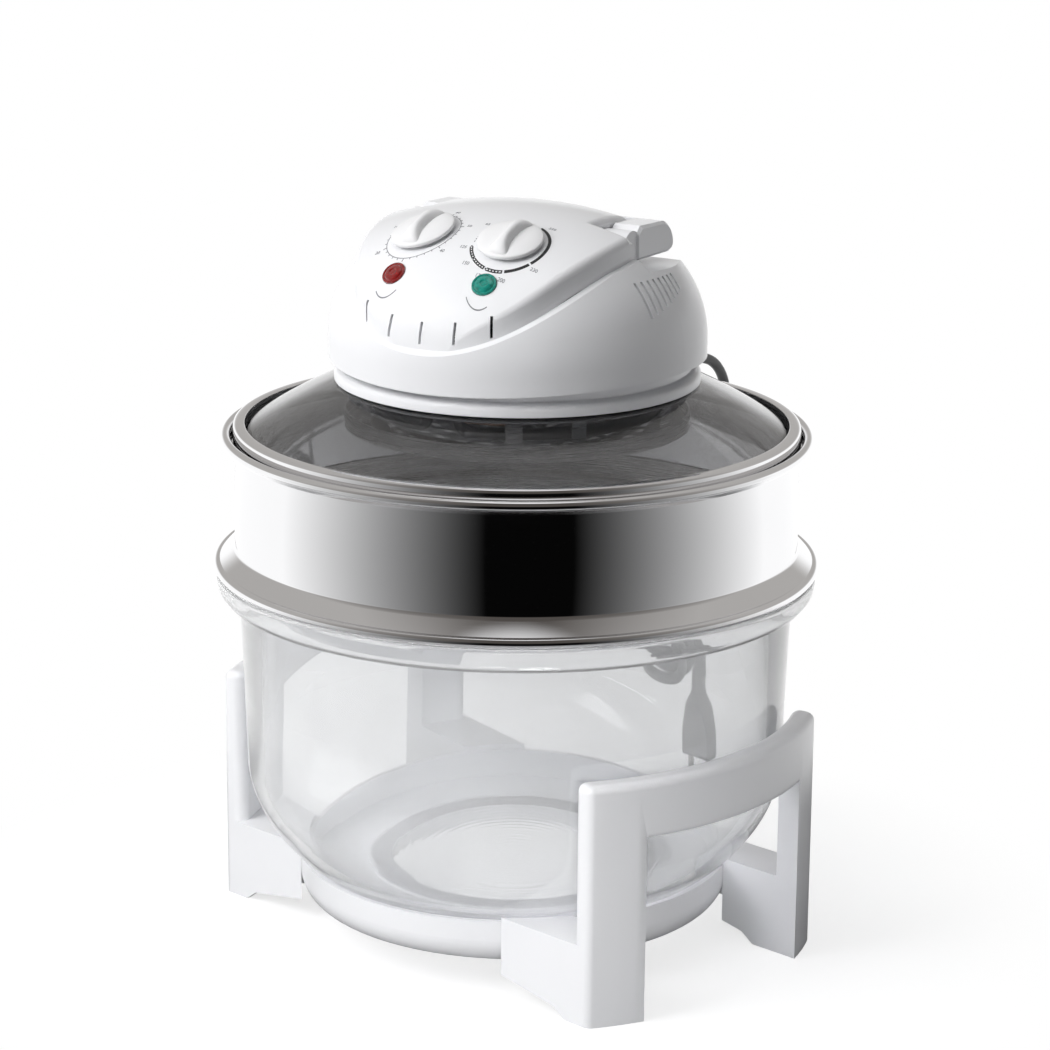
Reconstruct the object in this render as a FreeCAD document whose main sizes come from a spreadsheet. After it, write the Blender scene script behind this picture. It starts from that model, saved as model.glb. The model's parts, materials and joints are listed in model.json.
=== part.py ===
import FreeCAD, Part
import math
import operator
import os
from types import SimpleNamespace

import Sketcher
from FreeCAD import Placement, Rotation, Vector

# A bowl-type air fryer oven: glass bowl on a stand, steel extender ring, domed glass lid and the
# heater head on it. Z is up, the floor is z = 0 and the bowl's axis is the Z axis. The control
# panel faces -Y. The two stand handles lie along X, turned about Z by stand_turn.

DRIVING = {
    # stand
    "stand_turn": -13,
    "ring_outer": 120.5,
    "ring_hole": 70,
    "ring_top": 42.5,
    "ring_lip": 14.5,
    "ring_wall": 3,
    "ledge_outer": 84,
    "ledge_top": 31,
    "face_outer": 176,
    "face_shift": 8,
    "face_wall": 13.5,
    "handle_half": 91,
    "post_inner": 62,
    "handle_top": 134,
    "grip_bottom": 102,
    "web_top": 45,
    # bowl
    "bowl_wall": 5,
    "bowl_seat": 31,
    "bowl_foot": 82,
    "bowl_lip_start": 193.5,
    "bowl_lip_outer": 166,
    "bowl_top": 208.8,
    # extender ring
    "extender_outer": 155.6,
    "sheet": 1,
    "bead": 2.8,
    "lower_bead_radius": 164.7,
    "lower_bead_height": 211.9,
    "shoulder_top": 222,
    "seat_height": 279,
    "upper_bead_radius": 160.2,
    "upper_bead_height": 283,
    # lid
    "rim_outer": 156,
    "rim_bottom": 279.3,
    "rim_top": 290.5,
    "rim_inner": 149.5,
    "glass_wall": 4,
    "glass_edge": 154,
    "glass_shoulder": 98,
    "glass_hole": 86,
    "glass_low": 287,
    "glass_high": 315,
    # head
    "collar_outer": 100.5,
    "neck_outer": 95,
    "neck_top": 330,
    "dome_radius": 103.6,
    "dome_rise": 76,
    "dome_base": 338,
    "housing_bottom": 325,
    "housing_wall": 3,
    "seam_nose": 347,
    "recess_front": 6.5,
    "recess_floor": 382.5,
    "roof_half": 51.5,
    "roof_rear": 30,
    "fascia_nose": 101,
    "fascia_wall": 3,
    "fascia_rise": 64,
    "fascia_base": 347,
    "fascia_deep": 100,
    "fascia_wide": 135,
    "knob_radius": 17.8,
    "knob_forward": 53,
    "knob_aside": 27,
    "lamp_radius": 6.8,
    "lamp_forward": 81,
    "lamp_aside": 28,
    # carrying handle
    "pivot_rear": 4,
    "pivot_height": 393,
    "arm_inner": 52.5,
    "arm_outer": 69.5,
    "hub_radius": 8.5,
    "bar_front": 35,
    "bar_rear": 49,
    # fan, heater and guard
    "plate_height": 308.5,
    "plate_outer": 94,
    "shield_height": 319.5,
    "heater_radius": 76,
    "heater_height": 299,
    "heater_tube": 3.25,
    "fan_radius": 62,
    "guard_outer": 94.5,
    "guard_bottom": 288,
    "motor_bottom": 349,
    "motor_thick": 22,
    "shaft_radius": 3,
    # cord
    "cord": 6,
    "cord_turn": 12,
    "hank_aside": 8,
    "hank_rear": 183.5,
    "hank_height": 118,
    "hank_run": 31,
    "hank_lobe": 17,
    "hank_waist": 9.2,
    "hank_pitch": 7.4,
}

OPERATIONS = {"+": operator.add, "-": operator.sub, "*": operator.mul, "/": operator.truediv}


class Size:
    """A dimension: its number, and the sheet expression that gives the same number."""

    def __init__(self, number, text):
        self.number = number
        self.text = text

    def __add__(self, other):
        return combined(self, "+", other)

    def __radd__(self, other):
        return combined(other, "+", self)

    def __sub__(self, other):
        return combined(self, "-", other)

    def __rsub__(self, other):
        return combined(other, "-", self)

    def __mul__(self, other):
        return combined(self, "*", other)

    def __rmul__(self, other):
        return combined(other, "*", self)

    def __truediv__(self, other):
        return combined(self, "/", other)

    def __neg__(self):
        return combined(0, "-", self)

    def __float__(self):
        return float(self.number)


def as_size(value):
    return value if isinstance(value, Size) else Size(value, f"({value!r})")


def combined(left, sign, right):
    left = as_size(left)
    right = as_size(right)
    number = OPERATIONS[sign](left.number, right.number)
    return Size(number, f"({left.text} {sign} {right.text})")


def root(size):
    return Size(math.sqrt(size.number), f"sqrt({size.text})")


def sine(angle):
    return math.sin(math.radians(angle))


def cosine(angle):
    return math.cos(math.radians(angle))


document = FreeCAD.newDocument("AirFryerOven")
sheet = document.addObject("Spreadsheet::Sheet", "Sizes")
dim = SimpleNamespace()
for row, (alias, number) in enumerate(DRIVING.items(), start=1):
    sheet.set(f"A{row}", alias.replace("_", " "))
    sheet.set(f"B{row}", str(number))
    sheet.setAlias(f"B{row}", alias)
    setattr(dim, alias, Size(number, f"Sizes.{alias}"))
document.recompute()

nodes = []


# General helpers

def bind(item, path, value):
    """Gives a property a sheet expression."""
    item.setExpression(path, as_size(value).text)


def node(item, label):
    """Marks an object as a finished sub-part and gives it its name."""
    item.Label = label
    nodes.append(item)
    return item


def new_body(name):
    return document.addObject("PartDesign::Body", name)


def new_sketch(body, name, role, offset=None):
    """A sketch on one of the body's own origin planes, moved along the plane's normal."""
    sketch = body.newObject("Sketcher::SketchObject", name)
    plane = next(item for item in body.Origin.OriginFeatures if item.Role == role)
    sketch.AttachmentSupport = [(plane, "")]
    sketch.MapMode = "FlatFace"
    if offset is not None:
        bind(sketch, ".AttachmentOffset.Base.z", offset)
    return sketch


def flat(corner):
    return Vector(float(corner[0]), float(corner[1]), 0)


def flat_arc(start, end, radius):
    """An arc of less than half a turn that turns left for a positive radius."""
    chord = end - start
    height = math.sqrt(max(radius ** 2 - (chord.Length / 2) ** 2, 0))
    left = Vector(-chord.y, chord.x, 0).normalize()
    centre = (start + end) / 2 + left * math.copysign(height, radius)
    first, last = (start, end) if radius > 0 else (end, start)
    circle = Part.Circle(centre, Vector(0, 0, 1), abs(radius))
    first_angle = math.atan2(first.y - centre.y, first.x - centre.x)
    last_angle = math.atan2(last.y - centre.y, last.x - centre.x)
    return Part.ArcOfCircle(circle, first_angle, last_angle)


def start_of(corner):
    """The end of a sketch segment that lies at its corner: arcs always run to the left."""
    return 2 if len(corner) == 3 and float(corner[2]) < 0 else 1


def hold(sketch, kind, *parts):
    """Adds a dimension to a sketch and binds it to its sheet expression."""
    value = as_size(parts[-1])
    index = sketch.addConstraint(Sketcher.Constraint(kind, *parts[:-1], value.number))
    if "Sizes." in value.text:
        sketch.setExpression(f"Constraints[{index}]", value.text)


def draw(sketch, corners):
    """Draws a closed outline. Each corner is x, y and, where an arc starts, its signed radius."""
    first = sketch.GeometryCount
    count = len(corners)
    for index, corner in enumerate(corners):
        start = flat(corner)
        end = flat(corners[(index + 1) % count])
        if len(corner) == 3:
            sketch.addGeometry(flat_arc(start, end, float(corner[2])), False)
        else:
            sketch.addGeometry(Part.LineSegment(start, end), False)
    for index, corner in enumerate(corners):
        segment = first + index
        following = (index + 1) % count
        end = 3 - start_of(corner)
        joint = (segment, end, first + following, start_of(corners[following]))
        sketch.addConstraint(Sketcher.Constraint("Coincident", *joint))
        hold(sketch, "DistanceX", -1, 1, segment, start_of(corner), corner[0])
        hold(sketch, "DistanceY", -1, 1, segment, start_of(corner), corner[1])
        if len(corner) == 3:
            radius = corner[2] if float(corner[2]) > 0 else -corner[2]
            hold(sketch, "Radius", segment, radius)


def draw_circle(sketch, x, y, radius):
    middle = Vector(float(x), float(y), 0)
    index = sketch.addGeometry(Part.Circle(middle, Vector(0, 0, 1), float(radius)), False)
    hold(sketch, "DistanceX", -1, 1, index, 3, x)
    hold(sketch, "DistanceY", -1, 1, index, 3, y)
    hold(sketch, "Radius", index, radius)


def box_outline(left, bottom, right, top):
    return [(left, bottom), (right, bottom), (right, top), (left, top)]


def mirrored(corners):
    """Adds the other half of an outline whose first and last corners lie on the line x = 0."""
    full = list(corners[:-1])
    for index in range(len(corners) - 1, 0, -1):
        x, y = corners[index][:2]
        arc = corners[index - 1][2:]
        full.append((-x, y, *arc))
    return full


def revolution(body, name, corners):
    """Turns a section, drawn as radius and height, about the Z axis."""
    sketch = new_sketch(body, f"{name}_section", "XZ_Plane")
    draw(sketch, corners)
    feature = body.newObject("PartDesign::Revolution", f"{name}_turned")
    feature.Profile = sketch
    feature.ReferenceAxis = (sketch, ["V_Axis"])
    feature.Angle = 360
    return feature


def turned(name, corners):
    """A body that is a single turned section."""
    body = new_body(name)
    revolution(body, name, corners)
    return body


def pad(body, sketch, length, side="One side", reverse=False):
    feature = body.newObject("PartDesign::Pad", f"{sketch.Name}_pad")
    feature.Profile = sketch
    feature.SideType = side
    feature.Reversed = reverse
    bind(feature, "Length", length)
    return feature


def pocket(body, sketch, length, side="One side", reverse=False):
    feature = body.newObject("PartDesign::Pocket", f"{sketch.Name}_pocket")
    feature.Profile = sketch
    feature.SideType = side
    feature.Reversed = reverse
    bind(feature, "Length", length)
    return feature


def plate(name, role, corners, length, offset=None, side="One side"):
    """A body padded from one outline."""
    body = new_body(name)
    sketch = new_sketch(body, f"{name}_outline", role, offset)
    draw(sketch, corners)
    pad(body, sketch, length, side)
    return body


def picked_edges(body, chosen):
    """The edges of the body's last feature that the given test picks."""
    document.recompute()
    tip = body.Tip
    return tip, [f"Edge{i}" for i, edge in enumerate(tip.Shape.Edges, start=1) if chosen(edge)]


def round_edges(body, name, radius, chosen):
    edges = picked_edges(body, chosen)
    feature = body.newObject("PartDesign::Fillet", name)
    feature.Base = edges
    bind(feature, "Radius", radius)


def bevel_edges(body, name, size, chosen):
    edges = picked_edges(body, chosen)
    feature = body.newObject("PartDesign::Chamfer", name)
    feature.Base = edges
    bind(feature, "Size", size)


def polar_copies(body, name, feature, count):
    document.recompute()
    pattern = body.newObject("PartDesign::PolarPattern", name)
    pattern.Originals = [feature]
    axis = next(item for item in body.Origin.OriginFeatures if item.Role == "Z_Axis")
    pattern.Axis = (axis, [""])
    pattern.Angle = 360
    pattern.Occurrences = count
    body.Tip = pattern
    return pattern


def cylinder(name, radius, length, place=None):
    item = document.addObject("Part::Cylinder", name)
    bind(item, "Radius", radius)
    bind(item, "Height", length)
    if place is not None:
        item.Placement = place
    return item


def block(name, length, width, height, place=None):
    item = document.addObject("Part::Box", name)
    bind(item, "Length", length)
    bind(item, "Width", width)
    bind(item, "Height", height)
    if place is not None:
        item.Placement = place
    return item


def fused(name, items):
    item = document.addObject("Part::MultiFuse", name)
    item.Shapes = items
    return item


def common(name, items):
    item = document.addObject("Part::MultiCommon", name)
    item.Shapes = items
    return item


def cut(name, base, tool):
    item = document.addObject("Part::Cut", name)
    item.Base = base
    item.Tool = tool
    return item


def group(name, items):
    item = document.addObject("Part::Compound", name)
    item.Links = items
    return item


def at(x, y, z, rotation=None):
    place = Placement(Vector(float(x), float(y), float(z)), Rotation())
    if rotation is not None:
        place.Rotation = rotation
    return place


def around(radius, angle, height, rotation=None):
    """A place on a circle about the Z axis; the angle runs from +X towards +Y."""
    x = float(radius) * cosine(angle)
    y = float(radius) * sine(angle)
    return at(x, y, height, rotation)


def screw(name, place, shank, length, head, head_height):
    """A pan-head screw whose head starts at the place and whose shank points along its Z."""
    head_part = cylinder(f"{name}_head", head, head_height, place)
    shank_place = place.multiply(at(0, 0, head_height))
    shank_part = cylinder(f"{name}_shank", shank, length, shank_place)
    return fused(name, [head_part, shank_part])


def arc_end(point, heading, radius, turn):
    """Where an arc ends that starts at a point with a heading and turns left by an angle."""
    x = point[0] + radius * (sine(heading + turn) - sine(heading))
    y = point[1] - radius * (cosine(heading + turn) - cosine(heading))
    return x, y


def left_of(point, heading, distance):
    """The point that lies to the left of a heading by a distance."""
    return point[0] - distance * sine(heading), point[1] + distance * cosine(heading)


def bead_corners(x, y, radius, first, last, steps):
    """Corners on a rolled bead's circle, joined by left-turning arcs, and the arc's last point."""
    corners = []
    for step in range(steps + 1):
        angle = first + (last - first) * step / steps
        point = (x + radius * cosine(angle), y + radius * sine(angle))
        corners.append(point if step == steps else (*point, radius))
    return corners


# Stand

SCREW_OUT = 103
SCREW_ASIDE = 76
SCREW_HOLE = 2


def stand_turn(extra=0):
    return Rotation(Vector(0, 0, 1), dim.stand_turn.number + extra)


def make_stand_ring():
    body = new_body("StandRing")
    wall = dim.ring_wall
    lip_centre = dim.ring_outer - dim.ring_lip
    lip_inner = dim.ring_lip - wall
    shelf = dim.ledge_top - wall
    under = shelf - wall
    drop = dim.ledge_top - under
    meet = lip_centre + root(lip_inner * lip_inner - drop * drop)
    apron = 9
    corners = [
        (dim.ring_hole, dim.ledge_top - apron),
        (dim.ring_hole + wall, dim.ledge_top - apron),
        (dim.ring_hole + wall, shelf),
        (dim.ledge_outer - wall, shelf),
        (dim.ledge_outer - wall, under),
        (meet, under, -lip_inner),
        (lip_centre, dim.ledge_top - lip_inner),
        (lip_centre, dim.ledge_top - dim.ring_lip, dim.ring_lip),
        (dim.ring_outer, dim.ledge_top),
        (dim.ring_outer, dim.ring_top),
        (dim.ring_outer - wall, dim.ring_top),
        (dim.ring_outer - wall, shelf),
        (dim.ledge_outer, shelf),
        (dim.ledge_outer, dim.ledge_top),
        (dim.ring_hole, dim.ledge_top),
    ]
    revolution(body, "StandRing", corners)
    lug_bottom = 20
    lug_height = 4
    lug_half = 7
    lug_reach = 19
    lugs = new_sketch(body, "StandLugs", "XY_Plane", lug_bottom)
    holes = new_sketch(body, "StandLugHoles", "XY_Plane", lug_bottom + lug_height)
    for side in (-1, 1):
        for end in (-1, 1):
            left, right = sorted((side * (SCREW_OUT - lug_reach), side * (SCREW_OUT + lug_half)))
            middle = end * SCREW_ASIDE
            draw(lugs, box_outline(left, middle - lug_half, right, middle + lug_half))
            draw_circle(holes, side * SCREW_OUT, end * SCREW_ASIDE, SCREW_HOLE)
    pad(body, lugs, lug_height)
    pocket(body, holes, lug_height)
    body.Placement.Rotation = stand_turn()
    return node(body, "stand_ring")


def face_reach(radius, aside):
    """How far out the handle's curved face lies at a distance aside of its middle."""
    return root(radius * radius - aside * aside) - dim.face_shift


def make_stand_handle(label, extra_turn):
    body = new_body(f"Body_{label}")
    outer = dim.face_outer
    inner = dim.face_outer - dim.face_wall
    half = dim.handle_half
    face = new_sketch(body, f"{label}_face", "XY_Plane")
    draw(face, [
        (face_reach(inner, half), -half),
        (face_reach(outer, half), -half, outer),
        (face_reach(outer, half), half),
        (face_reach(inner, half), half, -inner),
    ])
    pad(body, face, dim.handle_top)
    grip = new_sketch(body, f"{label}_grip_gap", "YZ_Plane", outer)
    draw(grip, box_outline(-dim.post_inner, -1, dim.post_inner, dim.grip_bottom))
    pocket(body, grip, 60)
    for end in (1, -1):
        add_web(body, f"{label}_web_{'front' if end < 0 else 'rear'}", inner, end)
    foot_start = 126
    foot_rise = new_sketch(body, f"{label}_foot_rise", "XZ_Plane")
    draw(foot_rise, [
        (foot_start - 66, -2),
        (foot_start, -2),
        (foot_start, 0),
        (foot_start - 8, 5.5),
        (foot_start - 66, 15.5),
    ])
    pocket(body, foot_rise, 2.2 * dim.handle_half, "Symmetric")
    round_handle(body, label)
    body.Placement.Rotation = stand_turn(extra_turn)
    return node(body, label)


def add_web(body, name, inner, end):
    """A hollow web from the ring to a post, with the boss that takes the screw."""
    near = dim.post_inner
    far = dim.handle_half
    ring = dim.ring_outer
    near_ring = root(ring * ring - near * near)
    far_ring = root(ring * ring - far * far)
    corners = [
        (near_ring, end * near),
        (face_reach(inner, near), end * near, end * inner),
        (face_reach(inner, far), end * far),
        (far_ring, end * far, -end * ring),
    ]
    outline = new_sketch(body, name, "XY_Plane")
    draw(outline, corners)
    pad(body, outline, dim.web_top)
    wall = dim.ring_wall
    hollow = new_sketch(body, f"{name}_hollow", "XY_Plane", dim.web_top - wall)
    low = near + wall
    high = far - wall
    draw(hollow, [
        (near_ring - 2 * wall, end * low),
        (face_reach(inner, low) - wall, end * low),
        (face_reach(inner, high) - wall, end * high),
        (far_ring - wall, end * high),
    ])
    pocket(body, hollow, dim.web_top)
    boss_bottom = 24
    boss = new_sketch(body, f"{name}_boss", "XY_Plane", boss_bottom)
    draw_circle(boss, SCREW_OUT, end * SCREW_ASIDE, 5)
    draw_circle(boss, SCREW_OUT, end * SCREW_ASIDE, SCREW_HOLE)
    pad(body, boss, dim.web_top - wall - boss_bottom)


def round_handle(body, label):
    """Rounds the posts' outer corners, the top edges and the grip's lower edges."""
    top = dim.handle_top.number
    half = dim.handle_half.number
    grip = dim.grip_bottom.number

    def corner_edge(edge):
        box = edge.BoundBox
        return box.ZLength > 80 and abs(abs(box.YMin) - half) < 0.01 and box.XLength < 0.01

    def top_edge(edge):
        box = edge.BoundBox
        return abs(box.ZMin - top) < 0.01 and abs(box.ZMax - top) < 0.01

    def grip_edge(edge):
        box = edge.BoundBox
        level = abs(box.ZMin - grip) < 0.01 and abs(box.ZMax - grip) < 0.01
        return level and box.YLength > 50

    round_edges(body, f"{label}_corners", 5.5, corner_edge)
    round_edges(body, f"{label}_top", 4.5, top_edge)
    round_edges(body, f"{label}_grip", 3.5, grip_edge)


def make_stand_screws():
    screws = []
    for side in (-1, 1):
        for end in (-1, 1):
            spot = stand_turn().multVec(Vector(side * SCREW_OUT, end * SCREW_ASIDE, 17.4))
            place = Placement(spot, Rotation())
            screws.append(screw(f"StandScrew{len(screws) + 1}", place, 1.85, 16, 3.8, 2.6))
    return node(group("StandScrews", screws), "stand_screws")


# Glass bowl and extender ring

FOOT_TURN = 37.2
HEEL_TURN = 22.6
SIDE_TURN = 25
FOOT_ARC = 59
HEEL_ARC = 93
SIDE_ARC = 61


def make_glass_bowl():
    wall = dim.bowl_wall
    arcs = [(FOOT_ARC, FOOT_TURN), (HEEL_ARC, HEEL_TURN), (SIDE_ARC, SIDE_TURN)]
    point = (dim.bowl_foot, dim.bowl_seat)
    heading = 0
    outside = [(0, dim.bowl_seat)]
    inside = [left_of(point, heading, wall)]
    for radius, turn in arcs:
        outside.append((*point, radius))
        point = arc_end(point, heading, radius, turn)
        heading += turn
        inside.append((*left_of(point, heading, wall), wall - radius))
    outside.append(point)
    rise = dim.bowl_lip_start - point[1]
    lip_foot = point[0] + rise * (cosine(heading) / sine(heading))
    outer = dim.bowl_lip_outer
    top = dim.bowl_top
    edge = 2.8
    lip = [
        (lip_foot, dim.bowl_lip_start),
        (outer - 4.5, dim.bowl_lip_start + 1, 3.5),
        (outer - 1.2, dim.bowl_lip_start + 5),
        (outer, top - edge, edge),
        (outer - edge, top),
        (outer - 8.6, top, edge),
        (outer - 8.6 - edge, top - edge),
    ]
    corners = outside + lip + inside[::-1] + [(0, dim.bowl_seat + wall)]
    return node(turned("GlassBowl", corners), "glass_bowl")


def make_extender_ring():
    outer = dim.extender_outer
    inner = outer - dim.sheet
    low_bead = bead_corners(dim.lower_bead_radius, dim.lower_bead_height, dim.bead, 165, 465, 3)
    high_bead = bead_corners(dim.upper_bead_radius, dim.upper_bead_height, dim.bead, 270, 585, 3)
    corners = [
        (inner, dim.shoulder_top - 1.2),
        *low_bead,
        (outer, dim.shoulder_top),
        (outer, dim.seat_height - dim.sheet),
        (dim.upper_bead_radius - 1.6, dim.seat_height - dim.sheet),
        *high_bead,
        (dim.upper_bead_radius - 2.8, dim.seat_height),
        (inner, dim.seat_height),
    ]
    return node(turned("ExtenderRing", corners), "extender_ring")


def make_locating_skirt():
    """The inner ring, spot-welded in the extender, that keeps it centred in the bowl."""
    inner = dim.extender_outer - 2 * dim.sheet - 0.1
    drop = 1.6
    bottom = 203
    joggle = 220
    top = 236
    corners = [
        (inner - drop, bottom),
        (inner - drop + dim.sheet, bottom),
        (inner - drop + dim.sheet, joggle),
        (inner + dim.sheet, joggle + 4),
        (inner + dim.sheet, top),
        (inner, top),
        (inner, joggle + 4),
        (inner - drop, joggle),
    ]
    return node(turned("LocatingSkirt", corners), "locating_skirt")


# Lid

def channel_corners(inner, bottom, outer, top, wall):
    """A channel section that is open towards the axis."""
    return [
        (inner, bottom),
        (outer, bottom),
        (outer, top),
        (inner, top),
        (inner, top - wall),
        (outer - wall, top - wall),
        (outer - wall, bottom + wall),
        (inner, bottom + wall),
    ]


def make_lid_rim():
    corners = channel_corners(dim.rim_inner, dim.rim_bottom, dim.rim_outer, dim.rim_top, 0.8)
    return node(turned("LidRim", corners), "lid_rim")


def make_glass_lid():
    wall = dim.glass_wall
    bend = 700
    corners = [
        (dim.glass_hole, dim.glass_high - wall),
        (dim.glass_shoulder - 0.9, dim.glass_high - wall, -bend),
        (dim.rim_inner - 0.9, dim.glass_low - wall),
        (dim.glass_edge, dim.glass_low - wall),
        (dim.glass_edge, dim.glass_low),
        (dim.rim_inner, dim.glass_low, bend),
        (dim.glass_shoulder, dim.glass_high),
        (dim.glass_hole, dim.glass_high),
    ]
    return node(turned("GlassLid", corners), "glass_lid")


def make_rim_gasket():
    """Silicone between the glass edge and the steel channel."""
    inner = dim.rim_inner + 1
    outer = dim.rim_outer - 0.9
    bottom = dim.rim_bottom + 0.9
    top = dim.rim_top - 0.9
    glass_top = dim.glass_low + 0.1
    glass_bottom = dim.glass_low - dim.glass_wall - 0.1
    corners = [
        (inner, bottom),
        (outer, bottom),
        (outer, top),
        (inner, top),
        (inner, glass_top),
        (dim.glass_edge + 0.1, glass_top),
        (dim.glass_edge + 0.1, glass_bottom),
        (inner, glass_bottom),
    ]
    return node(turned("RimGasket", corners), "rim_gasket")


def make_collar_gasket():
    """Silicone round the glass lid's centre opening, between collar and reflector plate."""
    inner = dim.glass_hole - 2
    outer = dim.glass_shoulder - 2
    lip = 1.5
    bottom = dim.glass_high - dim.glass_wall - lip
    corners = [
        (inner, bottom),
        (outer - 1, bottom),
        (outer - 1, bottom + lip),
        (dim.glass_hole, bottom + lip),
        (dim.glass_hole, dim.glass_high),
        (outer, dim.glass_high),
        (outer, dim.glass_high + lip),
        (inner, dim.glass_high + lip),
    ]
    return node(turned("CollarGasket", corners), "collar_gasket")


# Head shells

def make_head_collar():
    outer = dim.collar_outer
    seat = dim.glass_high + 1.5
    shoulder = 322
    neck = 3
    corners = [
        (dim.glass_hole - 2, seat),
        (outer - 1.4, seat),
        (outer - 1.4, seat - 1.9),
        (outer, seat - 1.9),
        (outer, seat, 6.5),
        (outer - 3.5, shoulder),
        (dim.neck_outer, shoulder),
        (dim.neck_outer, dim.neck_top),
        (dim.neck_outer - neck, dim.neck_top),
        (dim.neck_outer - neck, dim.shield_height),
        (dim.glass_hole - 2, dim.shield_height),
    ]
    return node(turned("HeadCollar", corners), "head_collar")


DOME_JOINT = 55


def dome_corners(start, inset):
    """The head's dome: a steep shoulder arc and a flat crown arc, moved inwards by an inset."""
    spread = (dim.dome_radius - dim.dome_rise) / (cosine(DOME_JOINT) + sine(DOME_JOINT) - 1)
    shoulder = dim.dome_radius - cosine(DOME_JOINT) * spread
    crown = shoulder + spread
    reach = shoulder - inset
    joint_x = dim.dome_radius - shoulder + reach * cosine(DOME_JOINT)
    joint_z = dim.dome_base + reach * sine(DOME_JOINT)
    return [
        *start,
        (dim.dome_radius - inset, dim.dome_base, reach),
        (joint_x, joint_z, crown - inset),
        (0, dim.dome_base + dim.dome_rise - inset),
    ]


SEAM_ARC = 164
SEAM_TOP = 388.5
HIGH_UP = 440
FAR_OUT = 115


def recess_line(drop):
    """The handle recess's floor behind the panel, lowered by a drop."""
    return [
        (45, dim.recess_floor - 2.5 - drop),
        (92, dim.recess_floor - 12.5 - drop),
        (FAR_OUT, dim.recess_floor - 17 - drop),
        (FAR_OUT, HIGH_UP),
    ]


def make_seam_block():
    """All the space above the seam between housing and fascia and above the handle recess."""
    nose = dim.fascia_nose
    front_drop = 12
    corners = [
        (-FAR_OUT, dim.seam_nose - front_drop),
        (-nose, dim.seam_nose, -SEAM_ARC),
        (-31, 384.5),
        (-dim.recess_front, SEAM_TOP),
        (-dim.recess_front, dim.recess_floor),
        *recess_line(0),
        (-FAR_OUT, HIGH_UP),
    ]
    return plate("SeamBlock", "YZ_Plane", corners, 2 * FAR_OUT, side="Symmetric")


def make_deck_block():
    """The space above the underside of the handle recess's floor."""
    deck = 2.5
    front = -dim.recess_front - dim.housing_wall
    corners = [
        (front, dim.recess_floor - deck),
        *recess_line(deck),
        (front, HIGH_UP),
    ]
    return plate("DeckBlock", "YZ_Plane", corners, 2 * FAR_OUT, side="Symmetric")


def make_head_housing(seam_block, deck_block):
    wall = dim.housing_wall
    bottom = dim.housing_bottom
    outer = turned("HousingOuter", dome_corners([(0, bottom), (dim.dome_radius, bottom)], 0))
    arch = new_sketch(outer, "HousingArch", "XZ_Plane")
    arch_rise = 5.5
    arch_radius = (FAR_OUT * FAR_OUT + arch_rise * arch_rise) / (2 * arch_rise)
    draw(arch, [
        (-FAR_OUT, bottom - 5),
        (FAR_OUT, bottom - 5),
        (FAR_OUT, bottom + arch_rise, -arch_radius),
        (0, bottom, -arch_radius),
        (-FAR_OUT, bottom + arch_rise),
    ])
    pocket(outer, arch, 2 * FAR_OUT, "Symmetric")
    inner_radius = dim.dome_radius - wall
    flange = dim.neck_outer - 12
    start = [
        (0, bottom - 6),
        (inner_radius, bottom - 6),
        (inner_radius, dim.neck_top),
        (flange, dim.neck_top),
        (flange, dim.neck_top + wall),
        (inner_radius, dim.neck_top + wall),
    ]
    inner = turned("HousingInner", dome_corners(start, wall))
    hollow = cut("HousingHollow", inner, deck_block)
    solid = cut("HousingSolid", outer, seam_block)
    shell = cut("HousingShell", solid, hollow)
    holes = [relief_hole(), plunger_hole()] + housing_screw_holes()
    openings = fused("HousingOpenings", vent_slots() + holes)
    return node(cut("HeadHousing", shell, openings), "head_housing")


VENT_COUNT = 8
VENT_FIRST = 23
VENT_PITCH = 5
VENT_TOP = 383
VENT_SLOT = 1.8


def vent_slots():
    """Eight slanting-row slots in each side of the housing, each lower end higher than the last."""
    slots = []
    for side in (-1, 1):
        for index in range(VENT_COUNT):
            forward = VENT_FIRST - VENT_PITCH * index
            bottom = 361.6 + 1.3 * index
            left = 60 if side > 0 else -110
            top = VENT_TOP - 3.5
            place = at(left, -forward - VENT_SLOT / 2, bottom)
            slots.append(block(f"Vent{len(slots) + 1}", 50, VENT_SLOT, top - bottom, place))
    return slots


def cord_direction(dip):
    """The horizontal bearing of the cord's exit, dipped below the horizontal."""
    bearing = 90 - dim.cord_turn.number
    flat_part = cosine(dip)
    return Vector(flat_part * cosine(bearing), flat_part * sine(bearing), -sine(dip))


RELIEF_DIP = 38
RELIEF_HEIGHT = 336
RELIEF_NECK = 5.2


def relief_place(distance):
    """A place on the strain relief's axis, with its Z along the axis, outwards."""
    direction = cord_direction(RELIEF_DIP)
    level = cord_direction(0)
    spot = Vector(0, 0, RELIEF_HEIGHT) + level * 103 + direction * distance
    return Placement(spot, Rotation(Vector(0, 0, 1), direction))


def relief_hole():
    return cylinder("ReliefHole", RELIEF_NECK + 0.1, 30, relief_place(-20))


PLUNGER_SPOT = (61, 20)


def plunger_hole():
    return cylinder("PlungerHole", 2.5, 12, at(*PLUNGER_SPOT, 373))


def fascia_outline(inset):
    """The panel's plan: a round nose, fuller sides and a narrow roof between the handle's arms."""
    arcs = [(80.6, 27.3), (56, 35.4), (125, 27.3)]
    point = (0, inset - dim.fascia_nose)
    heading = 0
    corners = []
    for radius, turn in arcs:
        corners.append((*point, radius - inset))
        point = arc_end(point, heading, radius - inset, turn)
        heading += turn
    corners.append(point)
    corners.append((point[0], -dim.recess_front - inset))
    corners.append((dim.roof_half - inset, -dim.recess_front - inset))
    corners.append((dim.roof_half - inset, dim.roof_rear - inset))
    corners.append((0, dim.roof_rear - inset))
    return mirrored(corners)


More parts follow.
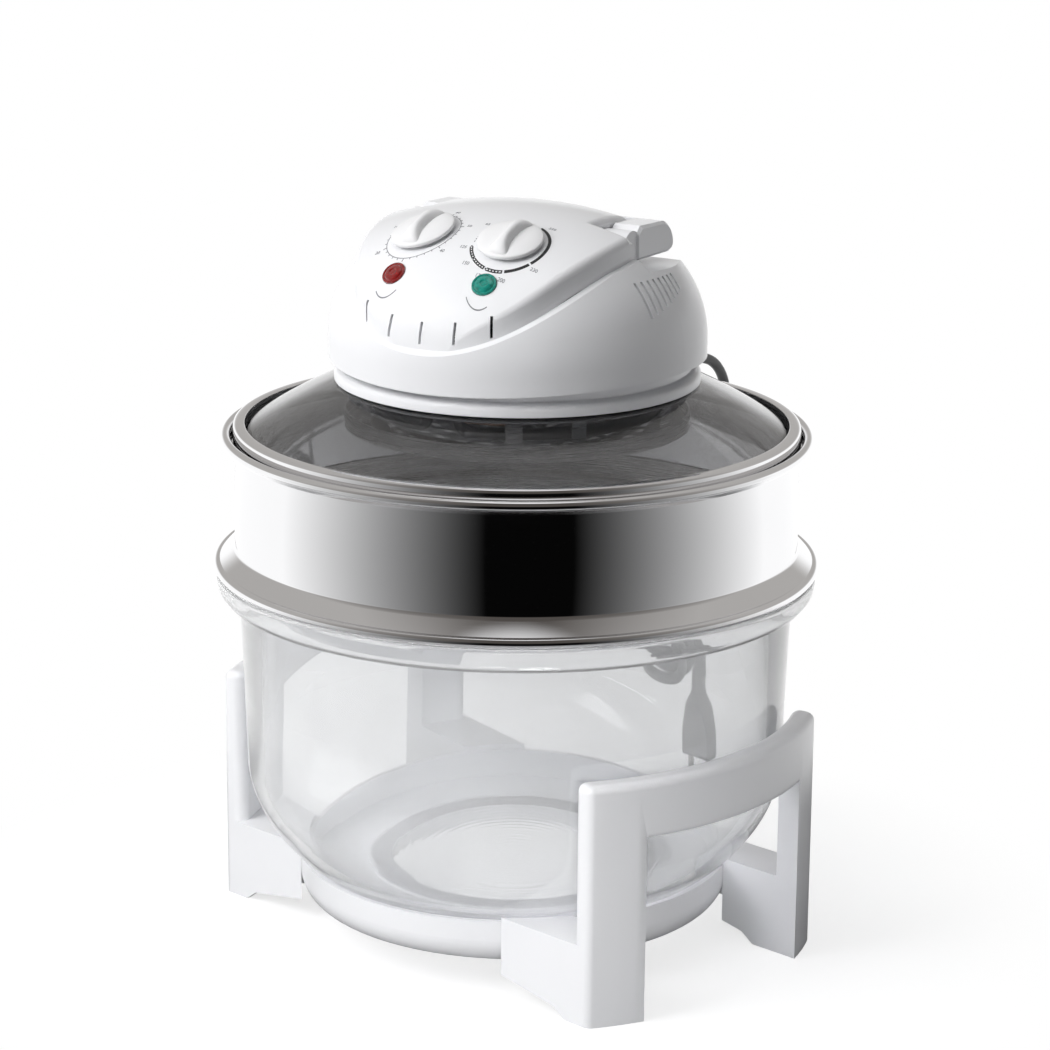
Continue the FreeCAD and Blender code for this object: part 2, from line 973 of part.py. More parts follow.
def fascia_ellipsoid(name, inset):
    item = document.addObject("Part::Ellipsoid", name)
    bind(item, "Radius1", dim.fascia_rise - inset)
    bind(item, "Radius2", dim.fascia_wide - inset)
    bind(item, "Radius3", dim.fascia_deep - inset)
    item.Angle1 = -90
    bind(item, ".Placement.Base.z", dim.fascia_base)
    return item


def make_panel_fascia(seam_block):
    low = 335
    tall = 80
    outer_plan = plate("FasciaPlan", "XY_Plane", fascia_outline(0), tall, low)
    inner_plan = plate("FasciaInnerPlan", "XY_Plane", fascia_outline(dim.fascia_wall), tall, low)
    outer_dome = fascia_ellipsoid("FasciaDome", 0)
    inner_dome = fascia_ellipsoid("FasciaInnerDome", dim.fascia_wall)
    solid = common("FasciaSolid", [outer_plan, seam_block, outer_dome])
    hollow = common("FasciaHollow", [inner_plan, inner_dome])
    rounded = round_fascia(solid)
    shell = cut("FasciaShell", rounded, hollow)
    openings = fused("FasciaOpenings", panel_holes() + front_slots() + pin_holes())
    return node(cut("PanelFascia", shell, openings), "panel_fascia")


def round_fascia(solid):
    """Softens the edge between the panel's top and its side walls."""
    document.recompute()
    chosen = []
    for index, edge in enumerate(solid.Shape.Edges, start=1):
        middle = edge.valueAt((edge.FirstParameter + edge.LastParameter) / 2)
        if on_top_rim(middle):
            chosen.append((index, FASCIA_ROUND, FASCIA_ROUND))
    rounded = document.addObject("Part::Fillet", "FasciaRounded")
    rounded.Base = solid
    rounded.Edges = chosen
    return rounded


FASCIA_ROUND = 5


def on_top_rim(middle):
    """True for an edge of the panel's top surface, but not where the nose's wall fades out."""
    across = middle.x / dim.fascia_wide.number
    along = middle.y / dim.fascia_deep.number
    up = (middle.z - dim.fascia_base.number) / dim.fascia_rise.number
    on_surface = abs(across ** 2 + along ** 2 + up ** 2 - 1) < 0.002
    away_from_nose = abs(middle.x) > 30 or middle.y > 1
    return on_surface and away_from_nose


def panel_place(aside, forward, distance=0):
    """A place on the panel's surface with its Z square to the surface."""
    wide = dim.fascia_wide.number
    deep = dim.fascia_deep.number
    rise = dim.fascia_rise.number
    up = math.sqrt(1 - (aside / wide) ** 2 - (forward / deep) ** 2)
    spot = Vector(aside, -forward, dim.fascia_base.number + rise * up)
    normal = Vector(aside / wide ** 2, -forward / deep ** 2, up / rise).normalize()
    return Placement(spot + normal * distance, Rotation(Vector(0, 0, 1), normal))


def knob_place(side, distance=0):
    return panel_place(side * dim.knob_aside.number, dim.knob_forward.number, distance)


def lamp_place(side, distance=0):
    return panel_place(side * dim.lamp_aside.number, dim.lamp_forward.number, distance)


def panel_holes():
    holes = []
    for side, word in ((-1, "Left"), (1, "Right")):
        holes.append(cylinder(f"KnobHole{word}", 5, 14, knob_place(side, -9)))
        holes.append(cylinder(f"LampHole{word}", dim.lamp_radius + 0.15, 16, lamp_place(side, -9)))
    return holes


SLOT_ANGLES = (-23, -11.5, 0, 11.5, 23)
SLOT_WIDTH = 1.5


def front_slots():
    """Five upright slots round the panel's nose, a little higher towards the sides."""
    slots = []
    for angle in SLOT_ANGLES:
        lift = 0.0115 * angle ** 2
        bottom = 350.5 + lift
        height = 11.5
        turn = Rotation(Vector(0, 0, 1), angle)
        spot = turn.multVec(Vector(-SLOT_WIDTH / 2, -106, bottom))
        place = Placement(spot, turn)
        slots.append(block(f"Slot{len(slots) + 1}", SLOT_WIDTH, 22, height, place))
    return slots


PIN_RADIUS = 3


def pin_holes():
    across = Rotation(Vector(0, 1, 0), 90)
    holes = []
    for side in (-1, 1):
        middle = side * (dim.roof_half - dim.fascia_wall / 2)
        place = at(middle - 4, dim.pivot_rear, dim.pivot_height, across)
        holes.append(cylinder(f"PinHole{len(holes) + 1}", PIN_RADIUS + 0.02, 8, place))
    return holes


# Controls and lamps

def make_knob(side, label):
    """A low domed dial with a finger fin and a socket for the shaft; its Z is the shaft axis."""
    body = new_body(f"Body_{label}")
    radius = dim.knob_radius
    lift = 1
    skirt = 3.2
    crown = 5
    dome_arc = ((radius - 1) * (radius - 1) + (crown - skirt) * (crown - skirt)) / (2 * (crown - skirt))
    revolution(body, label, [
        (0, lift),
        (radius, lift),
        (radius, skirt - 0.6),
        (radius - 1, skirt, dome_arc),
        (0, crown),
    ])
    fin = new_sketch(body, f"{label}_fin", "XZ_Plane")
    reach = radius - 2.5
    fin_top = 12.4
    fin_arc = (reach * reach + (fin_top - skirt) * (fin_top - skirt)) / (2 * (fin_top - skirt))
    draw(fin, [(-reach, skirt - 1), (reach, skirt - 1), (reach, skirt, fin_arc), (0, fin_top, fin_arc),
               (-reach, skirt)])
    pad(body, fin, 7, "Symmetric")
    boss = new_sketch(body, f"{label}_boss", "XY_Plane", -2)
    draw_circle(boss, 0, 0, 4.4)
    pad(body, boss, 5)
    bore = new_sketch(body, f"{label}_bore", "XY_Plane", crown)
    draw_circle(bore, 0, 0, dim.shaft_radius + 0.05)
    pocket(body, bore, 20)
    body.Placement = knob_place(side)
    return node(body, label)


def make_control_shaft(side, label):
    return node(cylinder(f"Body_{label}", dim.shaft_radius, 22, knob_place(side, -17.5)), label)


def make_control_unit(side, label, radius, depth):
    """The can under the panel that a dial works: a bush under the panel, then the wider can."""
    neck = 6.5
    bore = dim.shaft_radius + 0.1
    corners = [
        (bore, -18),
        (bore, -3.2),
        (neck, -3.2),
        (neck, -6),
        (radius, -6),
        (radius, -depth),
        (0, -depth),
        (0, -18),
    ]
    body = turned(f"Body_{label}", corners[::-1])
    body.Placement = knob_place(side)
    return node(body, label)


def make_lamp_lens(side, label):
    """A low domed lens with a skirt that snaps into the panel."""
    radius = dim.lamp_radius
    dome = 1.8
    lens_arc = (radius * radius + dome * dome) / (2 * dome)
    body = turned(f"Body_{label}", [
        (0, -0.6),
        (radius - 1.2, -0.6),
        (radius - 1.2, -5),
        (radius, -5),
        (radius, 0.2, lens_arc),
        (0, dome + 0.2),
    ])
    body.Placement = lamp_place(side)
    return node(body, label)


def make_lamp_holders():
    """The neon lamps in their sleeves behind the lenses."""
    holders = []
    for side, word in ((-1, "Left"), (1, "Right")):
        holders.append(cylinder(f"LampHolder{word}", dim.lamp_radius - 1.4, 22, lamp_place(side, -22.8)))
    return node(group("LampHolders", holders), "lamp_holders")


# Carrying handle with its pins and safety switch

def make_carry_handle():
    body = new_body("CarryHandle")
    low = dim.pivot_height - dim.hub_radius
    high = dim.pivot_height + 9
    hump = 1
    heel = 5
    crook = 14
    rear = dim.bar_rear
    back = [
        (rear - heel, low - 0.2, heel),
        (rear, low - 0.2 + heel, crook),
        (rear - 11, high),
    ]
    bar = new_sketch(body, "HandleBar", "YZ_Plane")
    draw(bar, [(dim.bar_front, low), *back, (dim.bar_front, high + 0.2)])
    pad(body, bar, dim.arm_inner + dim.arm_outer, "Symmetric")
    front = dim.pivot_rear + 4
    arm = [
        (front, low),
        *back,
        (front + 5, high + hump),
        (front, high + hump - 4),
    ]
    width = dim.arm_outer - dim.arm_inner
    for word, offset in (("right", dim.arm_inner), ("left", -dim.arm_outer)):
        sketch = new_sketch(body, f"HandleArm_{word}", "YZ_Plane", offset)
        draw(sketch, arm)
        pad(body, sketch, width)
    outside = dim.arm_outer.number

    def outer_edge(edge):
        box = edge.BoundBox
        return box.XLength < 0.01 and abs(abs(box.XMin) - outside) < 0.01

    bevel_edges(body, "HandleSoft", 1.6, outer_edge)
    inset = 1.2
    for word, offset in (("right", dim.arm_inner), ("left", inset - dim.arm_outer)):
        hub = new_sketch(body, f"HandleHub_{word}", "YZ_Plane", offset)
        draw_circle(hub, dim.pivot_rear, dim.pivot_height, dim.hub_radius)
        pad(body, hub, width - inset)
    bore = new_sketch(body, "HandleBore", "YZ_Plane")
    draw_circle(bore, dim.pivot_rear, dim.pivot_height, PIN_RADIUS + 0.05)
    pocket(body, bore, 2 * (dim.arm_outer - 4), "Symmetric")
    return node(body, "carry_handle")


def make_handle_pins():
    across = Rotation(Vector(0, 1, 0), 90)
    length = 19
    pins = []
    for side in (-1, 1):
        left = dim.roof_half.number - 5 if side > 0 else -dim.roof_half.number + 5 - length
        place = at(left, dim.pivot_rear, dim.pivot_height, across)
        pins.append(cylinder(f"HandlePin{len(pins) + 1}", PIN_RADIUS, length, place))
    return node(group("HandlePins", pins), "handle_pins")


def make_safety_switch():
    """The cut-out switch under the recess floor, bored for its plunger."""
    x, y = PLUNGER_SPOT
    case = block("SwitchCase", 13, 22, 16, at(x - 6.5, y - 11, 361.5))
    bore = cylinder("SwitchBore", 2.2, 14, at(x, y, 367))
    return node(cut("SafetySwitch", case, bore), "safety_switch")


def make_switch_plunger():
    top = dim.pivot_height - dim.hub_radius - 0.45
    bottom = 369.5
    return node(cylinder("SwitchPlunger", 2, top - bottom, at(*PLUNGER_SPOT, bottom)), "switch_plunger")


# Motor and fans

def make_motor_bracket():
    """A strap over the cooling fan with a leg and a foot at each end."""
    top = dim.motor_bottom
    strap = 2.5
    far = 72
    floor = dim.shield_height + 1.5
    foot = 10
    corners = [
        (-far - foot + strap, floor),
        (-far + strap, floor),
        (-far + strap, top - strap),
        (far - strap, top - strap),
        (far - strap, floor),
        (far + foot - strap, floor),
        (far + foot - strap, floor + strap),
        (far, floor + strap),
        (far, top),
        (-far, top),
        (-far, floor + strap),
        (-far - foot + strap, floor + strap),
    ]
    body = plate("MotorBracket", "XZ_Plane", corners, 30, side="Symmetric")
    hole = new_sketch(body, "BracketHole", "XY_Plane", top)
    draw_circle(hole, 0, 0, dim.shaft_radius + 1)
    for side in (-1, 1):
        draw_circle(hole, side * STACK_BOLT, -8, 2.1)
    pocket(body, hole, strap + 1)
    return node(body, "motor_bracket")


STACK_BOLT = 25
STACK_HALF = 31
STACK_FRONT = 23
STACK_REAR = 54
WINDOW_HALF = 19
WINDOW_FRONT = 21
WINDOW_REAR = 40
BAR_ROOM = 0.2
ROTOR_RADIUS = 14.5


def make_motor_stack():
    """The laminated iron frame: a bore for the rotor in front and a window for the coil behind."""
    body = new_body("MotorStack")
    sketch = new_sketch(body, "StackOutline", "XY_Plane", dim.motor_bottom)
    draw(sketch, box_outline(-STACK_HALF, -STACK_FRONT, STACK_HALF, STACK_REAR))
    draw(sketch, box_outline(-WINDOW_HALF, WINDOW_FRONT, WINDOW_HALF, WINDOW_REAR))
    draw_circle(sketch, 0, 0, ROTOR_RADIUS + 0.6)
    for side in (-1, 1):
        draw_circle(sketch, side * STACK_BOLT, -8, 2.1)
    pad(body, sketch, dim.motor_thick)
    return node(body, "motor_stack")


def make_motor_coil():
    """The winding on its bobbin round the frame's rear bar."""
    overhang = 2.4
    width = 34
    depth = 30
    bottom = dim.motor_bottom - overhang
    outer = block("CoilOuter", width, depth, dim.motor_thick + 2 * overhang, at(-width / 2, 30, bottom))
    bar = STACK_REAR - WINDOW_REAR
    middle = block("CoilHole", width + 6, bar + 2 * BAR_ROOM, dim.motor_thick + 2 * BAR_ROOM,
                   at(-width / 2 - 3, WINDOW_REAR - BAR_ROOM, dim.motor_bottom - BAR_ROOM))
    return node(cut("MotorCoil", outer, middle), "motor_coil")


def make_motor_rotor():
    body = turned("MotorRotor", [
        (dim.shaft_radius, dim.motor_bottom + 0.6),
        (ROTOR_RADIUS, dim.motor_bottom + 0.6),
        (ROTOR_RADIUS, dim.motor_bottom + dim.motor_thick - 0.6),
        (dim.shaft_radius, dim.motor_bottom + dim.motor_thick - 0.6),
    ])
    return node(body, "motor_rotor")


def make_top_bearing():
    """The bearing bridge on top of the frame."""
    floor = dim.motor_bottom + dim.motor_thick
    strap = block("BridgeStrap", 2 * STACK_HALF, 16, 2, at(-STACK_HALF, -16, floor))
    cup = cylinder("BridgeCup", 7, 7, at(0, 0, floor + 1))
    bore = cylinder("BridgeBore", dim.shaft_radius + 0.05, 20, at(0, 0, floor - 5))
    bolts = [cylinder(f"BridgeHole{side + 2}", 2.1, 6, at(side * STACK_BOLT, -8, floor - 2))
             for side in (-1, 1)]
    solid = fused("BridgeSolid", [strap, cup])
    tools = fused("BridgeTools", [bore, *bolts])
    return node(cut("TopBearing", solid, tools), "top_bearing")


def make_motor_screws():
    down = Rotation(Vector(1, 0, 0), 180)
    screws = []
    for side in (-1, 1):
        place = at(side * STACK_BOLT, -8, dim.motor_bottom.number + dim.motor_thick.number + 4.6, down)
        screws.append(screw(f"MotorScrew{len(screws) + 1}", place, 1.9, 28, 3.6, 2.6))
    return node(group("MotorScrews", screws), "motor_screws")


SHAFT_BOTTOM = 290


def make_motor_shaft():
    top = dim.motor_bottom + dim.motor_thick + 6
    shaft = cylinder("MotorShaft", dim.shaft_radius, top - SHAFT_BOTTOM, at(0, 0, SHAFT_BOTTOM))
    return node(shaft, "motor_shaft")


def make_fan(label, radius, disc_height, blade_low, blade_high, count):
    """A blade wheel: a hub, a disc and upright blades in a ring."""
    body = new_body(f"Body_{label}")
    bore = dim.shaft_radius
    hub = 8
    disc = 1.2
    low = min(blade_low, disc_height)
    high = max(blade_high, disc_height + disc) + 1
    revolution(body, label, [
        (bore, low),
        (hub, low),
        (hub, disc_height),
        (radius * 0.72, disc_height),
        (radius * 0.72, disc_height + disc),
        (hub, disc_height + disc),
        (hub, high),
        (bore, high),
    ])
    blade = new_sketch(body, f"{label}_blade", "XY_Plane", blade_low)
    draw(blade, box_outline(hub - 1, -0.7, radius, 0.7))
    feature = pad(body, blade, blade_high - blade_low)
    polar_copies(body, f"{label}_blades", feature, count)
    return node(body, label)


def make_fan_nut():
    body = new_body("FanNut")
    sketch = new_sketch(body, "NutOutline", "XY_Plane", SHAFT_BOTTOM + 0.5)
    flats = 5.6
    draw(sketch, [(flats * cosine(60 * k), flats * sine(60 * k)) for k in range(6)])
    draw_circle(sketch, 0, 0, dim.shaft_radius)
    pad(body, sketch, 3)
    return node(body, "fan_nut")


# Plates, heater and guard

HEATER_GAP = 12
HEATER_BEND = 6
BULB_RADIUS = 66.5
BULB_ANGLE = -75
BULB_HALF = 14
STANDOFF_RADIUS = 66
STANDOFF_ANGLES = (45, 135, 225, 315)
GUARD_SCREW_RADIUS = 80.5
GUARD_ANGLES = (0, 60, 120, 180, 240, 300)


def heater_end(side):
    """Where the heater's ring ends and turns up, on one side of its gap."""
    radius = dim.heater_radius.number
    height = dim.heater_height.number
    return Vector(side * radius * sine(HEATER_GAP), -radius * cosine(HEATER_GAP), height)


def gap_direction(side):
    """The way the heater's tube runs on from a ring end, into the gap."""
    return Vector(-side * cosine(HEATER_GAP), -sine(HEATER_GAP), 0)


def leg_spot(side):
    spot = heater_end(side) + gap_direction(side) * HEATER_BEND
    return spot.x, spot.y


def bulb_point(distance):
    """A point on the sensing bulb's axis, measured from its middle."""
    along = Vector(-sine(BULB_ANGLE), cosine(BULB_ANGLE), 0)
    middle = Vector(BULB_RADIUS * cosine(BULB_ANGLE), BULB_RADIUS * sine(BULB_ANGLE), 303.5)
    return middle + along * distance


CAPILLARY_RISE = 22


def bored_disc(name, outer, bottom, thick, hole, others):
    """A flat disc with a centre hole and more holes, each given as x, y and radius."""
    body = new_body(name)
    sketch = new_sketch(body, f"{name}_outline", "XY_Plane", bottom)
    draw_circle(sketch, 0, 0, outer)
    draw_circle(sketch, 0, 0, hole)
    for x, y, radius in others:
        draw_circle(sketch, x, y, radius)
    pad(body, sketch, thick)
    return body


def pass_through(leg, standoff):
    """The holes that heater legs, capillary and stand-offs need."""
    holes = [(*leg_spot(side), leg) for side in (-1, 1)]
    rise = bulb_point(CAPILLARY_RISE)
    holes.append((rise.x, rise.y, 2))
    for angle in STANDOFF_ANGLES:
        holes.append((STANDOFF_RADIUS * cosine(angle), STANDOFF_RADIUS * sine(angle), standoff))
    return holes


INSULATOR = 5.2


def make_reflector_plate():
    holes = pass_through(INSULATOR + 0.1, 2)
    for angle in GUARD_ANGLES:
        holes.append((GUARD_SCREW_RADIUS * cosine(angle), GUARD_SCREW_RADIUS * sine(angle), 1.7))
    body = bored_disc("ReflectorPlate", dim.plate_outer, dim.plate_height, 1, 10, holes)
    return node(body, "reflector_plate")


def make_insulation_mat():
    body = bored_disc("InsulationMat", 83.5, dim.plate_height + 1.6, 8.9, 12,
                      pass_through(INSULATOR + 0.1, 3.6))
    return node(body, "insulation_mat")


def make_heat_shield():
    holes = pass_through(INSULATOR + 0.1, 2)
    for angle in HOUSING_SCREW_ANGLES:
        holes.append((HOUSING_SCREW_RADIUS * cosine(angle), HOUSING_SCREW_RADIUS * sine(angle), 1.9))
    body = bored_disc("HeatShield", dim.neck_outer - 3.2, dim.shield_height, 1.5, 8, holes)
    return node(body, "heat_shield")


def make_plate_standoffs():
    """Four spacers that hold reflector plate and heat shield apart."""
    posts = []
    for angle in STANDOFF_ANGLES:
        place = around(STANDOFF_RADIUS, angle, dim.plate_height.number + 1)
        posts.append(cylinder(f"Standoff{len(posts) + 1}", 3.5, 10, place))
    return node(group("PlateStandoffs", posts), "plate_standoffs")


def tube(edges, radius):
    """A round tube along a path, as one pipe shell in default mode."""
    wire = Part.Wire(edges)
    start = edges[0].valueAt(edges[0].FirstParameter)
    along = edges[0].tangentAt(edges[0].FirstParameter)
    ring = Part.Wire(Part.makeCircle(radius, start, along))
    shape = wire.makePipeShell([ring], True, False)
    return shape if shape.Volume > 0 else shape.reversed()


def bent_path(points, bend):
    """Straight runs joined by tangent arcs of a given radius."""
    edges = []
    last = points[0]
    for before, corner, after in zip(points, points[1:], points[2:]):
        into = (corner - before).normalize()
        out = (after - corner).normalize()
        reach = bend * math.tan(into.getAngle(out) / 2)
        first = corner - into * reach
        second = corner + out * reach
        inward = (out - into).normalize()
        depth = bend / math.cos(into.getAngle(out) / 2) - bend
        edges.append(Part.LineSegment(last, first).toShape())
        edges.append(Part.Arc(first, corner + inward * depth, second).toShape())
        last = second
    edges.append(Part.LineSegment(last, points[-1]).toShape())
    return edges


def plain_feature(name, shape):
    item = document.addObject("Part::Feature", name)
    item.Shape = shape
    return item


def make_heating_element():
    """A ring heater; both ends turn up through the plates to their terminals."""
    radius = dim.heater_radius.number
    level = dim.heater_height.number
    top = dim.shield_height.number + 14
    up = Vector(0, 0, 1)
    left, right = heater_end(-1), heater_end(1)
    ring = Part.Arc(right, Vector(0, radius, level), left).toShape()
    feet = {}
    middles = {}
    for side, end in ((-1, left), (1, right)):
        centre = end + up * HEATER_BEND
        middles[side] = centre + (gap_direction(side) - up).normalize() * HEATER_BEND
        feet[side] = centre + gap_direction(side) * HEATER_BEND
    rise = up * (top - level - HEATER_BEND)
    edges = [
        Part.LineSegment(feet[1] + rise, feet[1]).toShape(),
        Part.Arc(feet[1], middles[1], right).toShape(),
        ring,
        Part.Arc(left, middles[-1], feet[-1]).toShape(),
        Part.LineSegment(feet[-1], feet[-1] + rise).toShape(),
    ]
    shape = tube(edges, dim.heater_tube.number)
    return node(plain_feature("HeatingElement", shape), "heating_element")


def make_element_insulators():
    """Ceramic bushes round the heater's legs."""
    bushes = []
    bottom = dim.plate_height.number - 2.5
    for side in (-1, 1):
        x, y = leg_spot(side)
        outer = cylinder(f"Bush{side + 2}", INSULATOR, 18, at(x, y, bottom))
        bore = cylinder(f"BushBore{side + 2}", dim.heater_tube + 0.08, 30, at(x, y, bottom - 5))
        bushes.append(cut(f"Insulator{side + 2}", outer, bore))
    return node(group("ElementInsulators", bushes), "element_insulators")


CLIP_ANGLES = (30, 150, 215, 325)


def make_element_clips():
    """Four hooks that hang the heater from the reflector plate."""
    width = 8
    outside = dim.heater_radius.number + dim.heater_tube.number + 0.3
    hook = dim.heater_height.number - dim.heater_tube.number - 1.3
    clips = []
    for index, angle in enumerate(CLIP_ANGLES, start=1):
        turn = Rotation(Vector(0, 0, 1), angle)
        foot = turn.multVec(Vector(outside - 8, -width / 2, hook))
        wall = turn.multVec(Vector(outside, -width / 2, hook))
        height = dim.plate_height.number - hook
        floor = block(f"ClipHook{index}", 8.5, width, 1, Placement(foot, turn))
        upright = block(f"ClipWall{index}", 1, width, height, Placement(wall, turn))
        clips.append(fused(f"Clip{index}", [floor, upright]))
    return node(group("ElementClips", clips), "element_clips")


def make_thermostat_bulb():
    """The sensing bulb beside the fan."""
    along = bulb_point(1) - bulb_point(0)
    place = Placement(bulb_point(-BULB_HALF), Rotation(Vector(0, 0, 1), along))
    return node(cylinder("ThermostatBulb", 2.5, 2 * BULB_HALF, place), "thermostat_bulb")


def make_capillary_tube():
    """The thin tube from the bulb up to the thermostat."""
    rise = bulb_point(CAPILLARY_RISE)
    place = knob_place(1)
    end = place.multVec(Vector(8, 2, -THERMOSTAT_DEPTH - 0.1))
    near = place.multVec(Vector(8, 2, -THERMOSTAT_DEPTH - 12))
    points = [bulb_point(BULB_HALF + 0.1), rise, Vector(rise.x, rise.y, 345), near, end]
    return node(plain_feature("CapillaryTube", tube(bent_path(points, 4), 1.1)), "capillary_tube")


GUARD_ROWS = (22, 34, 46, 58, 70, 82)


def make_guard_plate():
    """The guard's flat bottom with rings of short slots."""
    body = bored_disc("GuardPlate", dim.guard_outer - 2.2, dim.guard_bottom, 1, 3.5, [])
    for row in GUARD_ROWS:
        count = int(2 * math.pi * row / 15)
        slot = new_sketch(body, f"GuardSlot{row}", "XY_Plane", dim.guard_bottom + 1)
        draw(slot, box_outline(row - 1.6, -4.4, row + 1.6, 4.4))
        feature = pocket(body, slot, 1.5)
        polar_copies(body, f"GuardRow{row}", feature, count)
    return node(body, "guard_plate")


def make_guard_band():
    outer = dim.guard_outer
    bottom = dim.guard_bottom
    body = turned("GuardBand", [
        (outer - 2, bottom),
        (outer, bottom),
        (outer, bottom + 9),
        (outer - 1, bottom + 9),
        (outer - 1, bottom + 1),
        (outer - 2, bottom + 1),
    ])
    return node(body, "guard_band")


def make_guard_straps():
    """Six uprights with tabs that screw to the reflector plate."""
    width = 9
    outside = dim.guard_outer.number - 2.1
    bottom = dim.guard_bottom.number + 1.1
    top = dim.plate_height.number - 0.05
    inside = GUARD_SCREW_RADIUS - 5
    straps = []
    for index, angle in enumerate(GUARD_ANGLES, start=1):
        turn = Rotation(Vector(0, 0, 1), angle)
        upright = turn.multVec(Vector(outside - 1, -width / 2, bottom))
        tab = turn.multVec(Vector(inside, -width / 2, top - 1))
        wall = block(f"StrapWall{index}", 1, width, top - bottom, Placement(upright, turn))
        flat_part = block(f"StrapTab{index}", outside - inside, width, 1, Placement(tab, turn))
        solid = fused(f"StrapSolid{index}", [wall, flat_part])
        hole = cylinder(f"StrapHole{index}", 1.7, 4, around(GUARD_SCREW_RADIUS, angle, top - 2))
        straps.append(cut(f"Strap{index}", solid, hole))
    return node(group("GuardStraps", straps), "guard_straps")


def make_guard_screws():
    screws = []
    for index, angle in enumerate(GUARD_ANGLES, start=1):
        place = around(GUARD_SCREW_RADIUS, angle, dim.plate_height.number - 1.05 - 1.8)
        screws.append(screw(f"GuardScrew{index}", place, 1.6, 2.6, 3, 1.8))
    return node(group("GuardScrews", screws), "guard_screws")


# Head fasteners and wiring

HOUSING_SCREW_RADIUS = 88.2
HOUSING_SCREW_ANGLES = (45, 135, 225, 315)


def housing_screw_place(angle, height, rotation=None):
    return around(HOUSING_SCREW_RADIUS, angle, height, rotation)


def make_collar_bosses():
    """Four pillars between heat shield and housing that the housing's screws run through."""
    low = dim.shield_height.number + 1.5
    pillars = []
    for index, angle in enumerate(HOUSING_SCREW_ANGLES, start=1):
        height = dim.neck_top.number - low
        outer = cylinder(f"Pillar{index}", 3.7, height, housing_screw_place(angle, low))
        bore = cylinder(f"PillarBore{index}", 1.9, 20, housing_screw_place(angle, low - 3))
        pillars.append(cut(f"Boss{index}", outer, bore))
    return node(group("HousingSpacers", pillars), "housing_spacers")


def make_housing_screws():
    down = Rotation(Vector(1, 0, 0), 180)
    screws = []
    for index, angle in enumerate(HOUSING_SCREW_ANGLES, start=1):
        top = dim.neck_top.number + dim.housing_wall.number + 2.4
        place = housing_screw_place(angle, top, down)
        screws.append(screw(f"HousingScrew{index}", place, 1.75, 13, 3.5, 2.4))
    return node(group("HousingScrews", screws), "housing_screws")


def housing_screw_holes():
    return [cylinder(f"FlangeHole{index}", 2, 12, housing_screw_place(angle, 326))
            for index, angle in enumerate(HOUSING_SCREW_ANGLES, start=1)]


TERMINAL_REAR = 62


def make_terminal_block():
    case = block("TerminalCase", 36, 11, 12, at(-18, TERMINAL_REAR, dim.shield_height + 1.5))
    return node(case, "terminal_block")


TIMER_DEPTH = 28
THERMOSTAT_DEPTH = 24


def make_wiring():
    """The leads from the terminal block to timer, thermostat and switch, and the heater's two."""
    top = dim.shield_height.number + 13.6
    rear = TERMINAL_REAR + 5
    routes = []
    for side, depth in ((-1, TIMER_DEPTH), (1, THERMOSTAT_DEPTH)):
        place = knob_place(side)
        end = place.multVec(Vector(-side * 8, 4, -depth - 0.1))
        near = place.multVec(Vector(-side * 8, 4, -depth - 9))
        routes.append([
            Vector(side * 9, rear, top),
            Vector(side * 9, rear + 3, top + 12),
            Vector(side * 50, 58, 355),
            Vector(side * 66, 4, 355),
            Vector(side * 44, -34, 358),
            near,
            end,
        ])
        leg_x, leg_y = leg_spot(side)
        end = place.multVec(Vector(0, -10, -depth - 0.1))
        near = place.multVec(Vector(0, -10, -depth - 9))
        heater_top = dim.shield_height.number + 14.1
        routes.append([Vector(leg_x, leg_y, heater_top), Vector(leg_x, leg_y, heater_top + 9), near, end])
    x, y = PLUNGER_SPOT
    routes.append([
        Vector(15, rear, top),
        Vector(15, rear + 3, top + 12),
        Vector(x, y + 14, 349.5),
        Vector(x, y, 352),
        Vector(x, y, 361.4),
    ])
    wires = [plain_feature(f"Wire{index}", tube(bent_path(points, 3), 1.2))
             for index, points in enumerate(routes, start=1)]
    return node(group("Wiring", wires), "wiring")


# Power cord

RELIEF_FLANGE = -10.5
RELIEF_START = 6.5
RELIEF_END = 30


def make_strain_relief():
    """The tapered sleeve through the housing's rear wall, with its inner flange."""
    flange = 7.5
    body = turned("StrainRelief", [
        (0, RELIEF_FLANGE - 2.6),
        (flange, RELIEF_FLANGE - 2.6),
        (flange, RELIEF_FLANGE),
        (RELIEF_NECK, RELIEF_FLANGE),
        (RELIEF_NECK, RELIEF_START),
        (6.6, RELIEF_START),
        (6.6, RELIEF_START + 2),
        (dim.cord / 2 + 1, RELIEF_END),
        (0, RELIEF_END),
    ])
    body.Placement = relief_place(0)
    return node(body, "strain_relief")


def cord_route():
    """The free stretch: out of the strain relief, over the lid's rear edge and down to the hank."""
    start = relief_place(RELIEF_END).Base
    second = relief_place(RELIEF_END + 16).Base
    end = hank_point(HANK_START, HANK_STUB)
    return [
        start,
        second,
        Vector(31.6, 148.7, 302),
        Vector(34.9, 164.3, 297.5),
        Vector(36.5, 175.5, 283.5),
        Vector(36, 178, 264),
        Vector(35, 179.5, 238),
        Vector(31.5, 177.5, 211),
        end + Vector(0, 0, 27),
        end,
    ]


def cord_edges(points):
    """Straight runs joined by tangent arcs, each as large as its two runs allow."""
    edges = []
    radii = []
    last = points[0]
    for before, corner, after in zip(points, points[1:], points[2:]):
        into = (corner - before).normalize()
        out = (after - corner).normalize()
        half = into.getAngle(out) / 2
        reach = 0.45 * min((corner - before).Length, (after - corner).Length)
        radius = reach / math.tan(half)
        first = corner - into * reach
        second = corner + out * reach
        depth = radius / math.cos(half) - radius
        edges.append(Part.LineSegment(last, first).toShape())
        edges.append(Part.Arc(first, corner + (out - into).normalize() * depth, second).toShape())
        radii.append(round(radius))
        last = second
    edges.append(Part.LineSegment(last, points[-1]).toShape())
    return edges, radii


